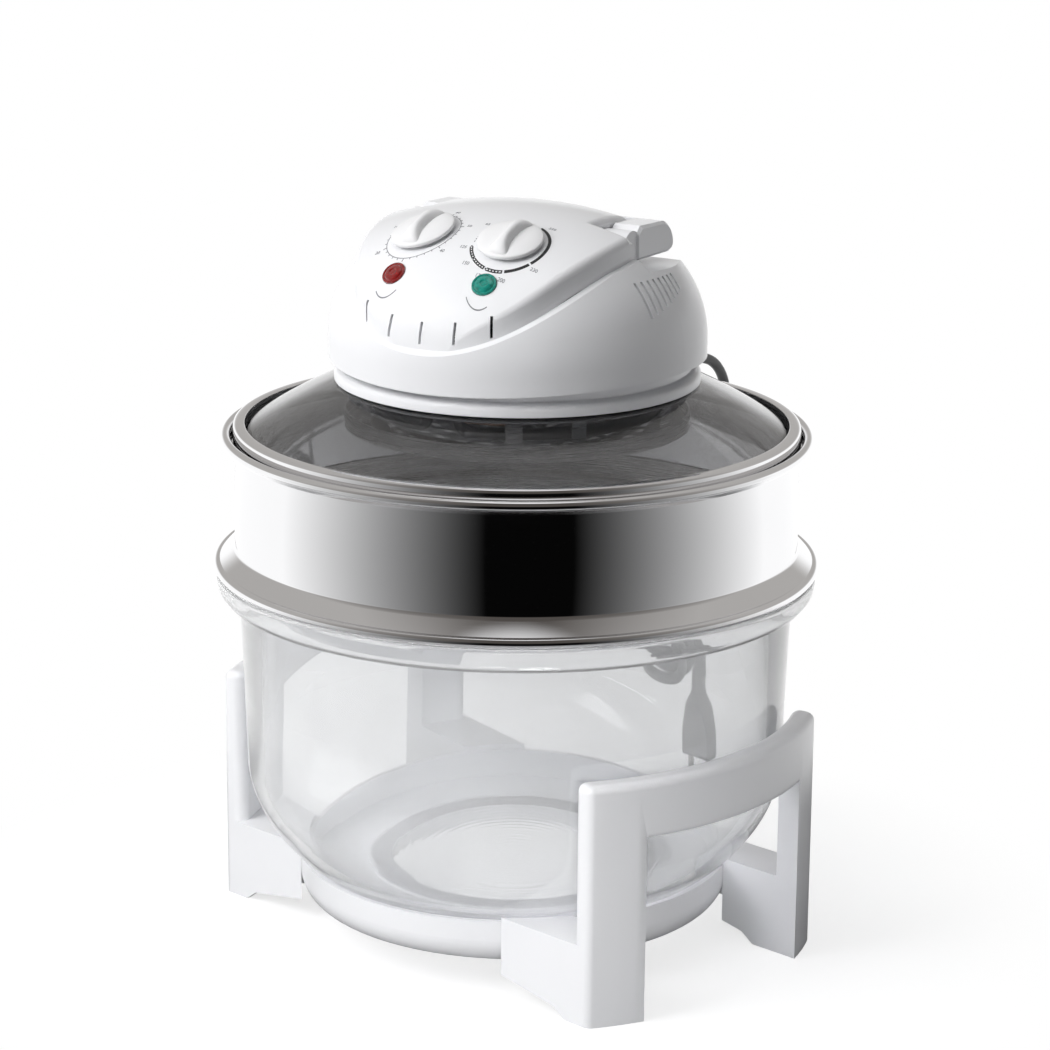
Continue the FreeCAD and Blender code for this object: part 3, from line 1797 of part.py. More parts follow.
def report_tube(label, shape, edges, radius):
    length = sum(edge.Length for edge in edges)
    ideal = math.pi * radius ** 2 * length
    print(f"{label}: length {length:.0f} mm, volume {shape.Volume:.0f}, section times length {ideal:.0f}")


def make_power_cord():
    edges, radii = cord_edges(cord_route())
    radius = dim.cord.number / 2
    shape = tube(edges, radius)
    report_tube("power_cord", shape, edges, radius)
    print("power_cord radii", radii)
    return node(plain_feature("PowerCord", shape), "power_cord")


HANK_LOOPS = 4
HANK_START = -0.125
HANK_END = HANK_LOOPS + 0.125
HANK_STUB = 6
CLIMB_SLOPE = 0.2


def hank_depth(turn):
    """How many pitches a loop lies inside the outermost one: in, out, in and out again."""
    folded = turn - 2 if turn > 2 else turn
    return folded if folded < 1 else 2 - folded


def hank_layer(turn):
    """The layer, which climbs by one along each right-hand run between two loops."""
    whole = round(turn)
    if abs(turn - whole) < 0.01 and 0 < whole < HANK_LOOPS:
        return whole - 0.5
    return min(max(math.floor(turn), 0), HANK_LOOPS - 1)


def hank_point(turn, stub=0):
    """A point of the hank: eighths of a loop run waist, lobe, end, lobe, waist and back."""
    eighth = round(turn * 8) % 8
    depth = hank_depth(turn) * dim.hank_pitch.number
    lobe = dim.hank_lobe.number - depth
    waist = dim.hank_waist.number - depth
    run = dim.hank_run.number
    across, rise = {
        0: (waist, 0),
        1: (lobe, -run),
        2: (0, -run - lobe),
        3: (-lobe, -run),
        4: (-waist, 0),
        5: (-lobe, run),
        6: (0, run + lobe),
        7: (lobe, run + stub),
    }[eighth]
    layer = hank_layer(turn)
    return Vector(
        dim.hank_aside.number + across,
        dim.hank_rear.number + (layer - (HANK_LOOPS - 1) / 2) * dim.hank_pitch.number,
        dim.hank_height.number + rise,
    )


def hank_heading(turn):
    """The cord's direction at a point of the hank."""
    eighth = round(turn * 8) % 8
    if eighth == 0 and 0 < turn < HANK_LOOPS:
        return Vector(0, CLIMB_SLOPE, -1).normalize()
    return {
        0: Vector(0, 0, -1),
        1: Vector(0, 0, -1),
        2: Vector(-1, 0, 0),
        3: Vector(0, 0, 1),
        4: Vector(0, 0, 1),
        5: Vector(0, 0, 1),
        6: Vector(1, 0, 0),
        7: Vector(0, 0, -1),
    }[eighth]


def three_point_arc(start, corner, end):
    """The arc that touches two equal sides of a corner at their ends."""
    into = (corner - start).normalize()
    out = (end - corner).normalize()
    half = into.getAngle(out) / 2
    if half < 1e-4:
        return Part.LineSegment(start, end).toShape()
    weight = math.cos(half)
    middle = (start + corner * (2 * weight) + end) / (2 + 2 * weight)
    return Part.Arc(start, middle, end).toShape()


def biarc(start, start_heading, end, end_heading):
    """Two tangent arcs between two points with given headings."""
    gap = end - start
    total = start_heading + end_heading
    spread = 2 * (1 - start_heading.dot(end_heading))
    lean = gap.dot(total)
    if spread < 1e-9:
        reach = gap.dot(gap) / (4 * gap.dot(end_heading))
    else:
        reach = (math.sqrt(lean ** 2 + spread * gap.dot(gap)) - lean) / spread
    first = start + start_heading * reach
    second = end - end_heading * reach
    joint = (first + second) / 2
    return [three_point_arc(start, first, joint), three_point_arc(joint, second, end)]


def hank_edges():
    steps = int((HANK_END - HANK_START) * 8)
    turns = [HANK_START + step / 8 for step in range(steps + 1)]
    entry = hank_point(HANK_START, HANK_STUB)
    edges = [Part.LineSegment(entry, hank_point(HANK_START)).toShape()]
    for before, after in zip(turns, turns[1:]):
        edges += biarc(hank_point(before), hank_heading(before), hank_point(after), hank_heading(after))
    last = hank_point(HANK_END)
    edges.append(Part.LineSegment(last, last + hank_heading(HANK_END) * HANK_STUB).toShape())
    return edges


def least_gap(edges, diameter):
    """A tube's least gap to itself, between points further apart along it than 3 diameters."""
    points = []
    travelled = []
    done = 0
    for edge in edges:
        pieces = max(1, round(edge.Length / 1.5))
        for index, point in enumerate(edge.discretize(pieces + 1)[:-1]):
            points.append(point)
            travelled.append(done + edge.Length * index / pieces)
        done += edge.Length
    least = done
    for first, point in enumerate(points):
        for second in range(first + 1, len(points)):
            if travelled[second] - travelled[first] > 3 * diameter:
                least = min(least, point.distanceToPoint(points[second]))
    return least - diameter


def make_cord_hank():
    """The put-away cord: four hanging loops in four layers, as one unbroken tube."""
    edges = hank_edges()
    radius = dim.cord.number / 2
    shape = tube(edges, radius)
    report_tube("cord_hank", shape, edges, radius)
    print(f"cord_hank least gap {least_gap(edges, 2 * radius):.2f} mm")
    return node(plain_feature("CordHank", shape), "cord_hank")


def make_cord_tie():
    """The strap round the hank's waist."""
    radius = dim.cord.number / 2
    room = 0.9
    wall = 1.3
    height = 8
    pitch = dim.hank_pitch.number
    left = hank_point(0.5).x - radius - room
    right = hank_point(0).x + radius + room
    middle = dim.hank_rear.number
    half = (HANK_LOOPS - 1) / 2 * pitch + radius + room
    level = dim.hank_height.number - height / 2
    outer = block("TieOuter", right - left + 2 * wall, 2 * half + 2 * wall, height,
                  at(left - wall, middle - half - wall, level))
    hole = block("TieHole", right - left, 2 * half, height + 2, at(left, middle - half, level - 1))
    return node(cut("CordTie", outer, hole), "cord_tie")


PLUG_SLEEVE = 20
PLUG_LENGTH = 32


def plug_place():
    """The plug hangs from the hank's end with its Z pointing down."""
    end = hank_point(HANK_END) - Vector(0, 0, HANK_STUB)
    return Placement(end, Rotation(Vector(1, 0, 0), 180))


def make_plug_body():
    """A moulded two-pin plug with a tapered sleeve on the cord."""
    sleeve_end = PLUG_SLEEVE
    face = PLUG_SLEEVE + PLUG_LENGTH
    body = turned("PlugBody", [
        (0, 0),
        (dim.cord / 2 + 1, 0),
        (dim.cord / 2 + 2.5, sleeve_end),
        (10, sleeve_end + 7),
        (12.5, sleeve_end + 20),
        (12.5, face),
        (0, face),
    ])
    flat_sides = new_sketch(body, "PlugFlats", "YZ_Plane")
    for side in (-1, 1):
        near, far = sorted((side * 8, side * 20))
        draw(flat_sides, box_outline(near, sleeve_end, far, face + 1))
    pocket(body, flat_sides, 40, "Symmetric")
    body.Placement = plug_place()
    return node(body, "plug_body")


def make_plug_pins():
    """Two round pins, 19 mm apart."""
    pins = []
    face = PLUG_SLEEVE + PLUG_LENGTH
    for side in (-1, 1):
        place = plug_place().multiply(at(side * 7, 0, face))
        pins.append(cylinder(f"PlugPin{side + 2}", 2, 18, place))
    return node(group("PlugPins", pins), "plug_pins")


# Build

def build():
    make_stand_ring()
    make_stand_handle("stand_handle_right", 0)
    make_stand_handle("stand_handle_left", 180)
    make_stand_screws()
    make_glass_bowl()
    make_extender_ring()
    make_locating_skirt()
    make_lid_rim()
    make_glass_lid()
    make_rim_gasket()
    make_collar_gasket()
    make_head_collar()
    seam_block = make_seam_block()
    make_head_housing(seam_block, make_deck_block())
    make_panel_fascia(seam_block)
    make_knob(-1, "timer_knob")
    make_knob(1, "temperature_knob")
    make_control_shaft(-1, "timer_shaft")
    make_control_shaft(1, "thermostat_shaft")
    make_control_unit(-1, "timer_unit", 17, TIMER_DEPTH)
    make_control_unit(1, "thermostat_unit", 15, THERMOSTAT_DEPTH)
    make_lamp_lens(-1, "power_lamp_lens")
    make_lamp_lens(1, "heat_lamp_lens")
    make_lamp_holders()
    make_carry_handle()
    make_handle_pins()
    make_safety_switch()
    make_switch_plunger()
    make_motor_bracket()
    make_motor_stack()
    make_motor_coil()
    make_motor_rotor()
    make_top_bearing()
    make_motor_screws()
    make_motor_shaft()
    make_fan("cooling_fan", dim.fan_radius - 4, 330, 326, 342, 8)
    make_fan("circulation_fan", dim.fan_radius, 302, 293.5, 302, 8)
    make_fan_nut()
    make_reflector_plate()
    make_insulation_mat()
    make_heat_shield()
    make_plate_standoffs()
    make_heating_element()
    make_element_insulators()
    make_element_clips()
    make_thermostat_bulb()
    make_capillary_tube()
    make_guard_plate()
    make_guard_band()
    make_guard_straps()
    make_guard_screws()
    make_collar_bosses()
    make_housing_screws()
    make_terminal_block()
    make_wiring()
    make_strain_relief()
    make_power_cord()
    make_cord_hank()
    make_cord_tie()
    make_plug_body()
    make_plug_pins()


def check_and_write():
    """Stops on any failed object or bad shape, then writes one file for each sub-part."""
    document.recompute()
    for item in document.Objects:
        if "Invalid" in item.State or "Error" in item.State:
            raise RuntimeError(f"{item.Name} failed: {item.State}")
    for item in nodes:
        if item.Shape.isNull() or not item.Shape.isValid():
            raise RuntimeError(f"{item.Label} has no valid shape")
    os.makedirs("parts", exist_ok=True)
    for item in nodes:
        item.Shape.exportStep(f"parts/{item.Label}.step")
    print(f"{len(nodes)} sub-parts written")


build()
check_and_write()
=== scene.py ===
import json
import math

import bmesh
import bpy
from mathutils import Matrix, Vector


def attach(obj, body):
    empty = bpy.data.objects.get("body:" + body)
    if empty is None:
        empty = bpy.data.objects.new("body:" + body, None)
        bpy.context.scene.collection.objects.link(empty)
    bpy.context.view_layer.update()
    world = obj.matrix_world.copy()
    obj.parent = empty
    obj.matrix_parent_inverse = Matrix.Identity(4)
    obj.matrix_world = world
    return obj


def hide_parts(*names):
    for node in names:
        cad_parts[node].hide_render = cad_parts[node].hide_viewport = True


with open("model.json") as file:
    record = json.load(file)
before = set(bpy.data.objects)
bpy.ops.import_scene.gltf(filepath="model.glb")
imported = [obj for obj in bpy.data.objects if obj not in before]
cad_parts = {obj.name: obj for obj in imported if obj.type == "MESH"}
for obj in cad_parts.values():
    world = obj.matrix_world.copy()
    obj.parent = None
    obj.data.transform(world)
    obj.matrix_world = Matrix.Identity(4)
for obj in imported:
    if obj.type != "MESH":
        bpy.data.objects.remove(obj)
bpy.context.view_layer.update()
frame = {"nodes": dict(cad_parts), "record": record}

# The dressed model of a bowl-type air fryer oven. Lengths are in millimetres until a mesh is made,
# the floor is z = 0, the bowl's axis is the Z axis and the control panel faces -Y.

MM = 0.001


# Camera

CAMERA_AZIMUTH = 31
CAMERA_REACH = 1.9
CAMERA_HEIGHT = 0.7425
CAMERA_SIDE_LOOK = 0.145
CAMERA_PITCH = 15.09
CAMERA_ROLL = 0.5
CAMERA_LENS = 121.75
SENSOR = 36


def sine(angle):
    return math.sin(math.radians(angle))


def cosine(angle):
    return math.cos(math.radians(angle))


def bearing(azimuth):
    """The level direction from the axis towards an azimuth: 0 is the front and 90 the right."""
    return Vector((sine(azimuth), -cosine(azimuth), 0))


def add_camera():
    data = bpy.data.cameras.new("Camera")
    data.sensor_width = SENSOR
    data.lens = CAMERA_LENS
    camera = bpy.data.objects.new("Camera", data)
    bpy.context.scene.collection.objects.link(camera)
    ahead = -bearing(CAMERA_AZIMUTH - CAMERA_SIDE_LOOK)
    up_axis = Vector((0, 0, 1))
    level_right = ahead.cross(up_axis)
    forward = ahead * cosine(CAMERA_PITCH) - up_axis * sine(CAMERA_PITCH)
    level_up = level_right.cross(forward)
    right = level_right * cosine(CAMERA_ROLL) + level_up * sine(CAMERA_ROLL)
    up = level_up * cosine(CAMERA_ROLL) - level_right * sine(CAMERA_ROLL)
    turn = Matrix((right, up, -forward)).transposed()
    place = bearing(CAMERA_AZIMUTH) * CAMERA_REACH + up_axis * CAMERA_HEIGHT
    camera.matrix_world = Matrix.Translation(place) @ turn.to_4x4()
    bpy.context.scene.camera = camera


# Stage: floor, surroundings and lamps

# Each sector: its middle azimuth, where it is darkest, where it ends, and its two tones
MIRROR_SECTOR = (36, 16, 106, 0.002, 1.1)
FILL_SECTOR = (88, 15, 120, 0.06, 1)
WORLD_FILL = 0.34
CEILING = (0.46, 0.445, 0.43)
CEILING_DARK = (0.085, 0.076, 0.069)
CEILING_START = 2
CEILING_FULL = 14
ZENITH_START = 72
ZENITH_FULL = 84
FLOOR_START = 0.3
FLOOR_FULL = 0.45
FLOOR_GLOW = 0.72
SHADOW_END = 0.17
WHITE_FROM = 0.34


def connect(tree, source, target):
    tree.links.new(source, target)


def math_node(tree, operation, first, second=None):
    node = tree.nodes.new("ShaderNodeMath")
    node.operation = operation
    for socket, value in zip(node.inputs, (first, second)):
        if value is None:
            continue
        if isinstance(value, (int, float)):
            socket.default_value = value
        else:
            connect(tree, value, socket)
    return node.outputs[0]


def mapped(tree, value, low, high, to_low, to_high, smooth=False):
    node = tree.nodes.new("ShaderNodeMapRange")
    node.interpolation_type = "SMOOTHSTEP" if smooth else "LINEAR"
    connect(tree, value, node.inputs["Value"])
    node.inputs["From Min"].default_value = low
    node.inputs["From Max"].default_value = high
    node.inputs["To Min"].default_value = to_low
    node.inputs["To Max"].default_value = to_high
    return node.outputs["Result"]


def studio_tone(tree, vector, sector):
    """How bright the studio is in a direction: bright, but for one dark sector."""
    azimuth, darkest, end, dark, bright = sector
    split = tree.nodes.new("ShaderNodeSeparateXYZ")
    connect(tree, vector, split.inputs[0])
    front = bearing(azimuth)
    along_x = math_node(tree, "MULTIPLY", split.outputs["X"], front.x)
    along_y = math_node(tree, "MULTIPLY", split.outputs["Y"], front.y)
    along = math_node(tree, "ADD", along_x, along_y)
    squared_x = math_node(tree, "POWER", split.outputs["X"], 2)
    squared_y = math_node(tree, "POWER", split.outputs["Y"], 2)
    reach = math_node(tree, "SQRT", math_node(tree, "ADD", squared_x, squared_y))
    share = math_node(tree, "DIVIDE", along, math_node(tree, "MAXIMUM", reach, 1e-4))
    return mapped(tree, share, cosine(end), cosine(darkest), bright, dark), reach


def colour_mix(tree, height, start, full):
    """A mix of two colours that goes over from the first to the second with the elevation."""
    mix = tree.nodes.new("ShaderNodeMix")
    mix.data_type = "RGBA"
    connect(tree, mapped(tree, height, sine(start), sine(full), 0, 1, smooth=True), mix.inputs["Factor"])
    return mix


def ray_kind(tree, *kinds):
    """One for rays of the given kinds and zero for all others."""
    path = tree.nodes.new("ShaderNodeLightPath")
    total = path.outputs[kinds[0]]
    for kind in kinds[1:]:
        total = math_node(tree, "MAXIMUM", total, path.outputs[kind])
    return total


def add_world():
    world = bpy.data.worlds.new("Studio")
    bpy.context.scene.world = world
    world.use_nodes = True
    tree = world.node_tree
    tree.nodes.clear()
    place = tree.nodes.new("ShaderNodeTexCoord")
    tone, _ = studio_tone(tree, place.outputs["Generated"], MIRROR_SECTOR)
    side, _ = studio_tone(tree, place.outputs["Generated"], FILL_SECTOR)
    height = tree.nodes.new("ShaderNodeSeparateXYZ")
    connect(tree, place.outputs["Generated"], height.inputs[0])
    ceiling = colour_mix(tree, height.outputs["Z"], CEILING_START, CEILING_FULL)
    above = tree.nodes.new("ShaderNodeMix")
    above.data_type = "RGBA"
    above.inputs["A"].default_value = (*CEILING_DARK, 1)
    above.inputs["B"].default_value = (*CEILING, 1)
    connect(tree, tone, above.inputs["Factor"])
    connect(tree, tone, ceiling.inputs["A"])
    connect(tree, above.outputs["Result"], ceiling.inputs["B"])
    zenith = colour_mix(tree, height.outputs["Z"], ZENITH_START, ZENITH_FULL)
    connect(tree, ceiling.outputs["Result"], zenith.inputs["A"])
    zenith.inputs["B"].default_value = (1, 1, 1, 1)
    backgrounds = []
    for strength in (WORLD_FILL, 1, 1):
        background = tree.nodes.new("ShaderNodeBackground")
        background.inputs["Color"].default_value = (1, 1, 1, 1)
        background.inputs["Strength"].default_value = strength
        backgrounds.append(background)
    fill, mirrored, white = backgrounds
    connect(tree, side, fill.inputs["Color"])
    connect(tree, zenith.outputs["Result"], mirrored.inputs["Color"])
    first = tree.nodes.new("ShaderNodeMixShader")
    connect(tree, ray_kind(tree, "Is Glossy Ray"), first.inputs[0])
    connect(tree, fill.outputs[0], first.inputs[1])
    connect(tree, mirrored.outputs[0], first.inputs[2])
    second = tree.nodes.new("ShaderNodeMixShader")
    connect(tree, ray_kind(tree, "Is Camera Ray", "Is Transmission Ray"), second.inputs[0])
    connect(tree, first.outputs[0], second.inputs[1])
    connect(tree, white.outputs[0], second.inputs[2])
    output = tree.nodes.new("ShaderNodeOutputWorld")
    connect(tree, second.outputs[0], output.inputs["Surface"])


def floor_material():
    """A pale floor that keeps the shadow, white further out and dark in mirrors at the front."""
    material = bpy.data.materials.new("floor_paper")
    material.use_nodes = True
    tree = material.node_tree
    tree.nodes.clear()
    paper = tree.nodes.new("ShaderNodeBsdfDiffuse")
    paper.inputs["Color"].default_value = (0.4, 0.4, 0.405, 1)
    glow = tree.nodes.new("ShaderNodeEmission")
    glow.inputs["Strength"].default_value = FLOOR_GLOW
    lit = tree.nodes.new("ShaderNodeAddShader")
    connect(tree, paper.outputs[0], lit.inputs[0])
    connect(tree, glow.outputs[0], lit.inputs[1])
    place = tree.nodes.new("ShaderNodeTexCoord")
    tone, reach = studio_tone(tree, place.outputs["Object"], MIRROR_SECTOR)
    studio = tree.nodes.new("ShaderNodeEmission")
    connect(tree, tone, studio.inputs["Strength"])
    seen = tree.nodes.new("ShaderNodeMixShader")
    connect(tree, ray_kind(tree, "Is Camera Ray", "Is Transmission Ray"), seen.inputs[0])
    connect(tree, paper.outputs[0], seen.inputs[1])
    white = tree.nodes.new("ShaderNodeEmission")
    backdrop = tree.nodes.new("ShaderNodeMixShader")
    connect(tree, mapped(tree, reach, SHADOW_END, WHITE_FROM, 0, 1, smooth=True), backdrop.inputs[0])
    connect(tree, lit.outputs[0], backdrop.inputs[1])
    connect(tree, white.outputs[0], backdrop.inputs[2])
    connect(tree, backdrop.outputs[0], seen.inputs[2])
    far = mapped(tree, reach, FLOOR_START, FLOOR_FULL, 0, 1, smooth=True)
    in_mirror = math_node(tree, "MULTIPLY", far, ray_kind(tree, "Is Glossy Ray"))
    final = tree.nodes.new("ShaderNodeMixShader")
    connect(tree, in_mirror, final.inputs[0])
    connect(tree, seen.outputs[0], final.inputs[1])
    connect(tree, studio.outputs[0], final.inputs[2])
    output = tree.nodes.new("ShaderNodeOutputMaterial")
    connect(tree, final.outputs[0], output.inputs["Surface"])
    return material


def add_floor():
    half = 6
    mesh = bpy.data.meshes.new("Floor")
    corners = [(-half, -half, 0), (half, -half, 0), (half, half, 0), (-half, half, 0)]
    mesh.from_pydata(corners, [], [(0, 1, 2, 3)])
    floor = bpy.data.objects.new("Floor", mesh)
    bpy.context.scene.collection.objects.link(floor)
    mesh.materials.append(floor_material())


def add_lamp(name, azimuth, reach, height, size, power, aim_height=0.25, spread=180):
    """A square soft lamp that looks at the object and isn't seen in mirrors."""
    data = bpy.data.lights.new(name, "AREA")
    data.size = size
    data.energy = power
    data.spread = math.radians(spread)
    lamp = bpy.data.objects.new(name, data)
    bpy.context.scene.collection.objects.link(lamp)
    place = bearing(azimuth) * reach + Vector((0, 0, height))
    aim = Vector((0, 0, aim_height)) - place
    lamp.location = place
    lamp.rotation_euler = aim.to_track_quat("-Z", "Y").to_euler()
    lamp.visible_glossy = False


def add_stage():
    add_world()
    add_floor()
    add_lamp("KeyLamp", -32, 1.9, 1.5, 1.3, 44)
    add_lamp("TopLamp", 10, 0.5, 2.2, 1.2, 8)
    add_lamp("RimLamp", 165, 1.8, 1.1, 0.9, 5)
    add_lamp("StandLamp", 40, 1.5, 0.3, 0.4, 0.24, aim_height=0.03, spread=24)


# Materials

def new_material(name):
    material = bpy.data.materials.new(name)
    material.use_nodes = True
    tree = material.node_tree
    return material, tree, tree.nodes["Principled BSDF"]


def noise(tree, scale, detail=3, stretch=(1, 1, 1)):
    """A noise pattern in the object's own space, whose unit is the metre."""
    place = tree.nodes.new("ShaderNodeTexCoord")
    mapping = tree.nodes.new("ShaderNodeMapping")
    mapping.inputs["Scale"].default_value = stretch
    connect(tree, place.outputs["Object"], mapping.inputs["Vector"])
    pattern = tree.nodes.new("ShaderNodeTexNoise")
    pattern.inputs["Scale"].default_value = scale
    pattern.inputs["Detail"].default_value = detail
    connect(tree, mapping.outputs[0], pattern.inputs["Vector"])
    return pattern.outputs["Fac"]


def vary_colour(tree, shader, colour, amount, scale):
    """Lets the base colour drift a little lighter and darker."""
    mix = tree.nodes.new("ShaderNodeMix")
    mix.data_type = "RGBA"
    mix.inputs["A"].default_value = (*[part * (1 - amount) for part in colour], 1)
    mix.inputs["B"].default_value = (*[min(1, part * (1 + amount)) for part in colour], 1)
    connect(tree, noise(tree, scale), mix.inputs["Factor"])
    connect(tree, mix.outputs["Result"], shader.inputs["Base Color"])


def vary_roughness(tree, shader, low, high, scale, stretch=(1, 1, 1)):
    pattern = noise(tree, scale, stretch=stretch)
    connect(tree, mapped(tree, pattern, 0.3, 0.7, low, high), shader.inputs["Roughness"])


def add_bump(tree, shader, height, strength, distance):
    bump = tree.nodes.new("ShaderNodeBump")
    bump.inputs["Strength"].default_value = strength
    bump.inputs["Distance"].default_value = distance
    connect(tree, height, bump.inputs["Height"])
    connect(tree, bump.outputs["Normal"], shader.inputs["Normal"])


def plastic(name, colour, rough, coat=0.0, grain=0.02):
    """Moulded plastic: a faint drift of colour, uneven sheen and a fine mould grain."""
    material, tree, shader = new_material(name)
    vary_colour(tree, shader, colour, 0.008, 30)
    vary_roughness(tree, shader, rough * 0.92, rough * 1.08, 60)
    add_bump(tree, shader, noise(tree, 1400, 2), grain, 0.0001)
    shader.inputs["Coat Weight"].default_value = coat
    shader.inputs["Coat Roughness"].default_value = 0.08
    return material


def steel(name, colour, rough, streak=0.0, streak_scale=(1, 1, 60)):
    """Metal with a rolled or brushed grain that changes its gloss and its surface."""
    material, tree, shader = new_material(name)
    shader.inputs["Metallic"].default_value = 1
    vary_colour(tree, shader, colour, 0.03, 18)
    vary_roughness(tree, shader, rough * 0.7, rough * 1.4, 25, streak_scale)
    if streak:
        add_bump(tree, shader, noise(tree, 40, 4, streak_scale), streak, 0.00005)
    return material


def dull(name, colour, rough, scale, strength):
    """Rubber, fibre, ceramic or tape: a matt surface with a grain of its own size."""
    material, tree, shader = new_material(name)
    vary_colour(tree, shader, colour, 0.08, scale / 3)
    vary_roughness(tree, shader, rough * 0.85, min(1, rough * 1.15), scale)
    add_bump(tree, shader, noise(tree, scale, 5), strength, 0.0003)
    return material


def glass(name, tint, shadow, ripple=0.03, haze=0.0):
    """Clear glass, very slightly rippled, that lets the lamps through with a soft shadow."""
    material, tree, shader = new_material(name)
    shader.inputs["Transmission Weight"].default_value = 1 - haze
    shader.inputs["IOR"].default_value = 1.5
    vary_colour(tree, shader, tint, 0.01, 12)
    vary_roughness(tree, shader, 0.0, 0.02, 20)
    add_bump(tree, shader, noise(tree, 22, 2), ripple, 0.0004)
    clear = tree.nodes.new("ShaderNodeBsdfTransparent")
    clear.inputs["Color"].default_value = (*shadow, 1)
    mix = tree.nodes.new("ShaderNodeMixShader")
    connect(tree, ray_kind(tree, "Is Shadow Ray"), mix.inputs[0])
    connect(tree, shader.outputs[0], mix.inputs[1])
    connect(tree, clear.outputs[0], mix.inputs[2])
    connect(tree, mix.outputs[0], tree.nodes["Material Output"].inputs["Surface"])
    return material


def lens(name, colour):
    """A tinted lamp lens with light scattered inside it."""
    material, tree, shader = new_material(name)
    vary_colour(tree, shader, colour, 0.7, 700)
    vary_roughness(tree, shader, 0.04, 0.1, 200)
    add_bump(tree, shader, noise(tree, 600, 2), 0.35, 0.0004)
    shader.inputs["Transmission Weight"].default_value = 0.3
    shader.inputs["Coat Weight"].default_value = 1
    shader.inputs["Coat Roughness"].default_value = 0.03
    return material


def make_materials():
    return {
        "white_plastic": plastic("white_plastic", (0.86, 0.865, 0.885), 0.33, coat=0.5),
        "knob_plastic": plastic("knob_plastic", (0.87, 0.87, 0.88), 0.33, coat=0.3),
        "clear_glass": glass("clear_glass", (0.91, 0.915, 0.92), (0.9, 0.9, 0.91), haze=0.17),
        "lid_glass": glass("lid_glass", (0.32, 0.32, 0.325), (0.8, 0.8, 0.8)),
        "mirror_steel": steel("mirror_steel", (0.86, 0.86, 0.87), 0.06, 0.02),
        "satin_steel": steel("satin_steel", (0.6, 0.59, 0.58), 0.24, 0.1),
        "zinc_steel": steel("zinc_steel", (0.66, 0.67, 0.68), 0.32, 0.1),
        "plate_aluminium": steel("plate_aluminium", (0.78, 0.78, 0.78), 0.22, 0.1),
        "shaft_steel": steel("shaft_steel", (0.6, 0.6, 0.6), 0.2, 0.1),
        "laminated_steel": steel("laminated_steel", (0.35, 0.35, 0.36), 0.45, 0.5),
        "coil_tape": dull("coil_tape", (0.7, 0.52, 0.14), 0.55, 300, 0.2),
        "heater_sheath": steel("heater_sheath", (0.16, 0.15, 0.14), 0.45, 0.2),
        "ceramic": dull("ceramic", (0.86, 0.84, 0.78), 0.4, 500, 0.1),
        "copper": steel("copper", (0.72, 0.42, 0.28), 0.35, 0.1),
        "silicone": dull("silicone", (0.12, 0.12, 0.125), 0.55, 600, 0.08),
        "mineral_wool": dull("mineral_wool", (0.78, 0.75, 0.64), 0.95, 400, 0.8),
        "red_lens": lens("red_lens", (0.3, 0.008, 0.008)),
        "green_lens": lens("green_lens", (0.008, 0.33, 0.26)),
        "inner_plastic": plastic("inner_plastic", (0.8, 0.78, 0.72), 0.5),
        "switch_plastic": plastic("switch_plastic", (0.03, 0.03, 0.032), 0.45),
        "wire_sleeve": dull("wire_sleeve", (0.7, 0.7, 0.67), 0.7, 900, 0.3),
        "cord_grey": dull("cord_grey", (0.16, 0.162, 0.165), 0.42, 500, 0.06),
        "tie_plastic": dull("tie_plastic", (0.03, 0.03, 0.03), 0.5, 700, 0.1),
        "pin_brass": steel("pin_brass", (0.72, 0.67, 0.55), 0.22, 0.1),
        "print_ink": plastic("print_ink", (0.02, 0.02, 0.022), 0.5),
        "grey_ink": plastic("grey_ink", (0.22, 0.22, 0.24), 0.5),
    }


def paint_frame(materials):
    """Gives every CAD node the look of its material slot."""
    for part in frame["record"]["subparts"]:
        mesh = frame["nodes"][part["node"]].data
        mesh.materials.clear()
        mesh.materials.append(materials[part["material_slot"]])


# Mesh helpers

def soften(name, width):
    """Rounds the sharp edges of a CAD node with a modifier, so that its mesh stays as it is."""
    node = frame["nodes"][name]
    weld = node.modifiers.new("Weld", "WELD")
    weld.merge_threshold = 1e-5
    bevel = node.modifiers.new("Soft", "BEVEL")
    bevel.width = width * MM
    bevel.segments = 4
    bevel.limit_method = "ANGLE"
    bevel.angle_limit = math.radians(40)
    bevel.harden_normals = True


def finish_piece(name, mesh, material, body, replaced=(), sharp=38):
    mesh.materials.append(material)
    mesh.shade_smooth()
    mesh.set_sharp_from_angle(angle=math.radians(sharp))
    piece = bpy.data.objects.new(name, mesh)
    bpy.context.scene.collection.objects.link(piece)
    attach(piece, body)
    if replaced:
        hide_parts(*replaced)
    return piece


def rounded(corners, steps=5):
    """The points of a closed outline; a corner's third number is how far back its rounding starts."""
    points = []
    count = len(corners)
    for index, corner in enumerate(corners):
        middle = Vector(corner[:2])
        if len(corner) < 3:
            points.append(middle)
            continue
        before = Vector(corners[index - 1][:2]) - middle
        after = Vector(corners[(index + 1) % count][:2]) - middle
        first = middle + before.normalized() * min(corner[2], before.length * 0.48)
        last = middle + after.normalized() * min(corner[2], after.length * 0.48)
        for step in range(steps + 1):
            share = step / steps
            points.append(first.lerp(middle, share).lerp(middle.lerp(last, share), share))
    return points


TURNED_STEPS = 288


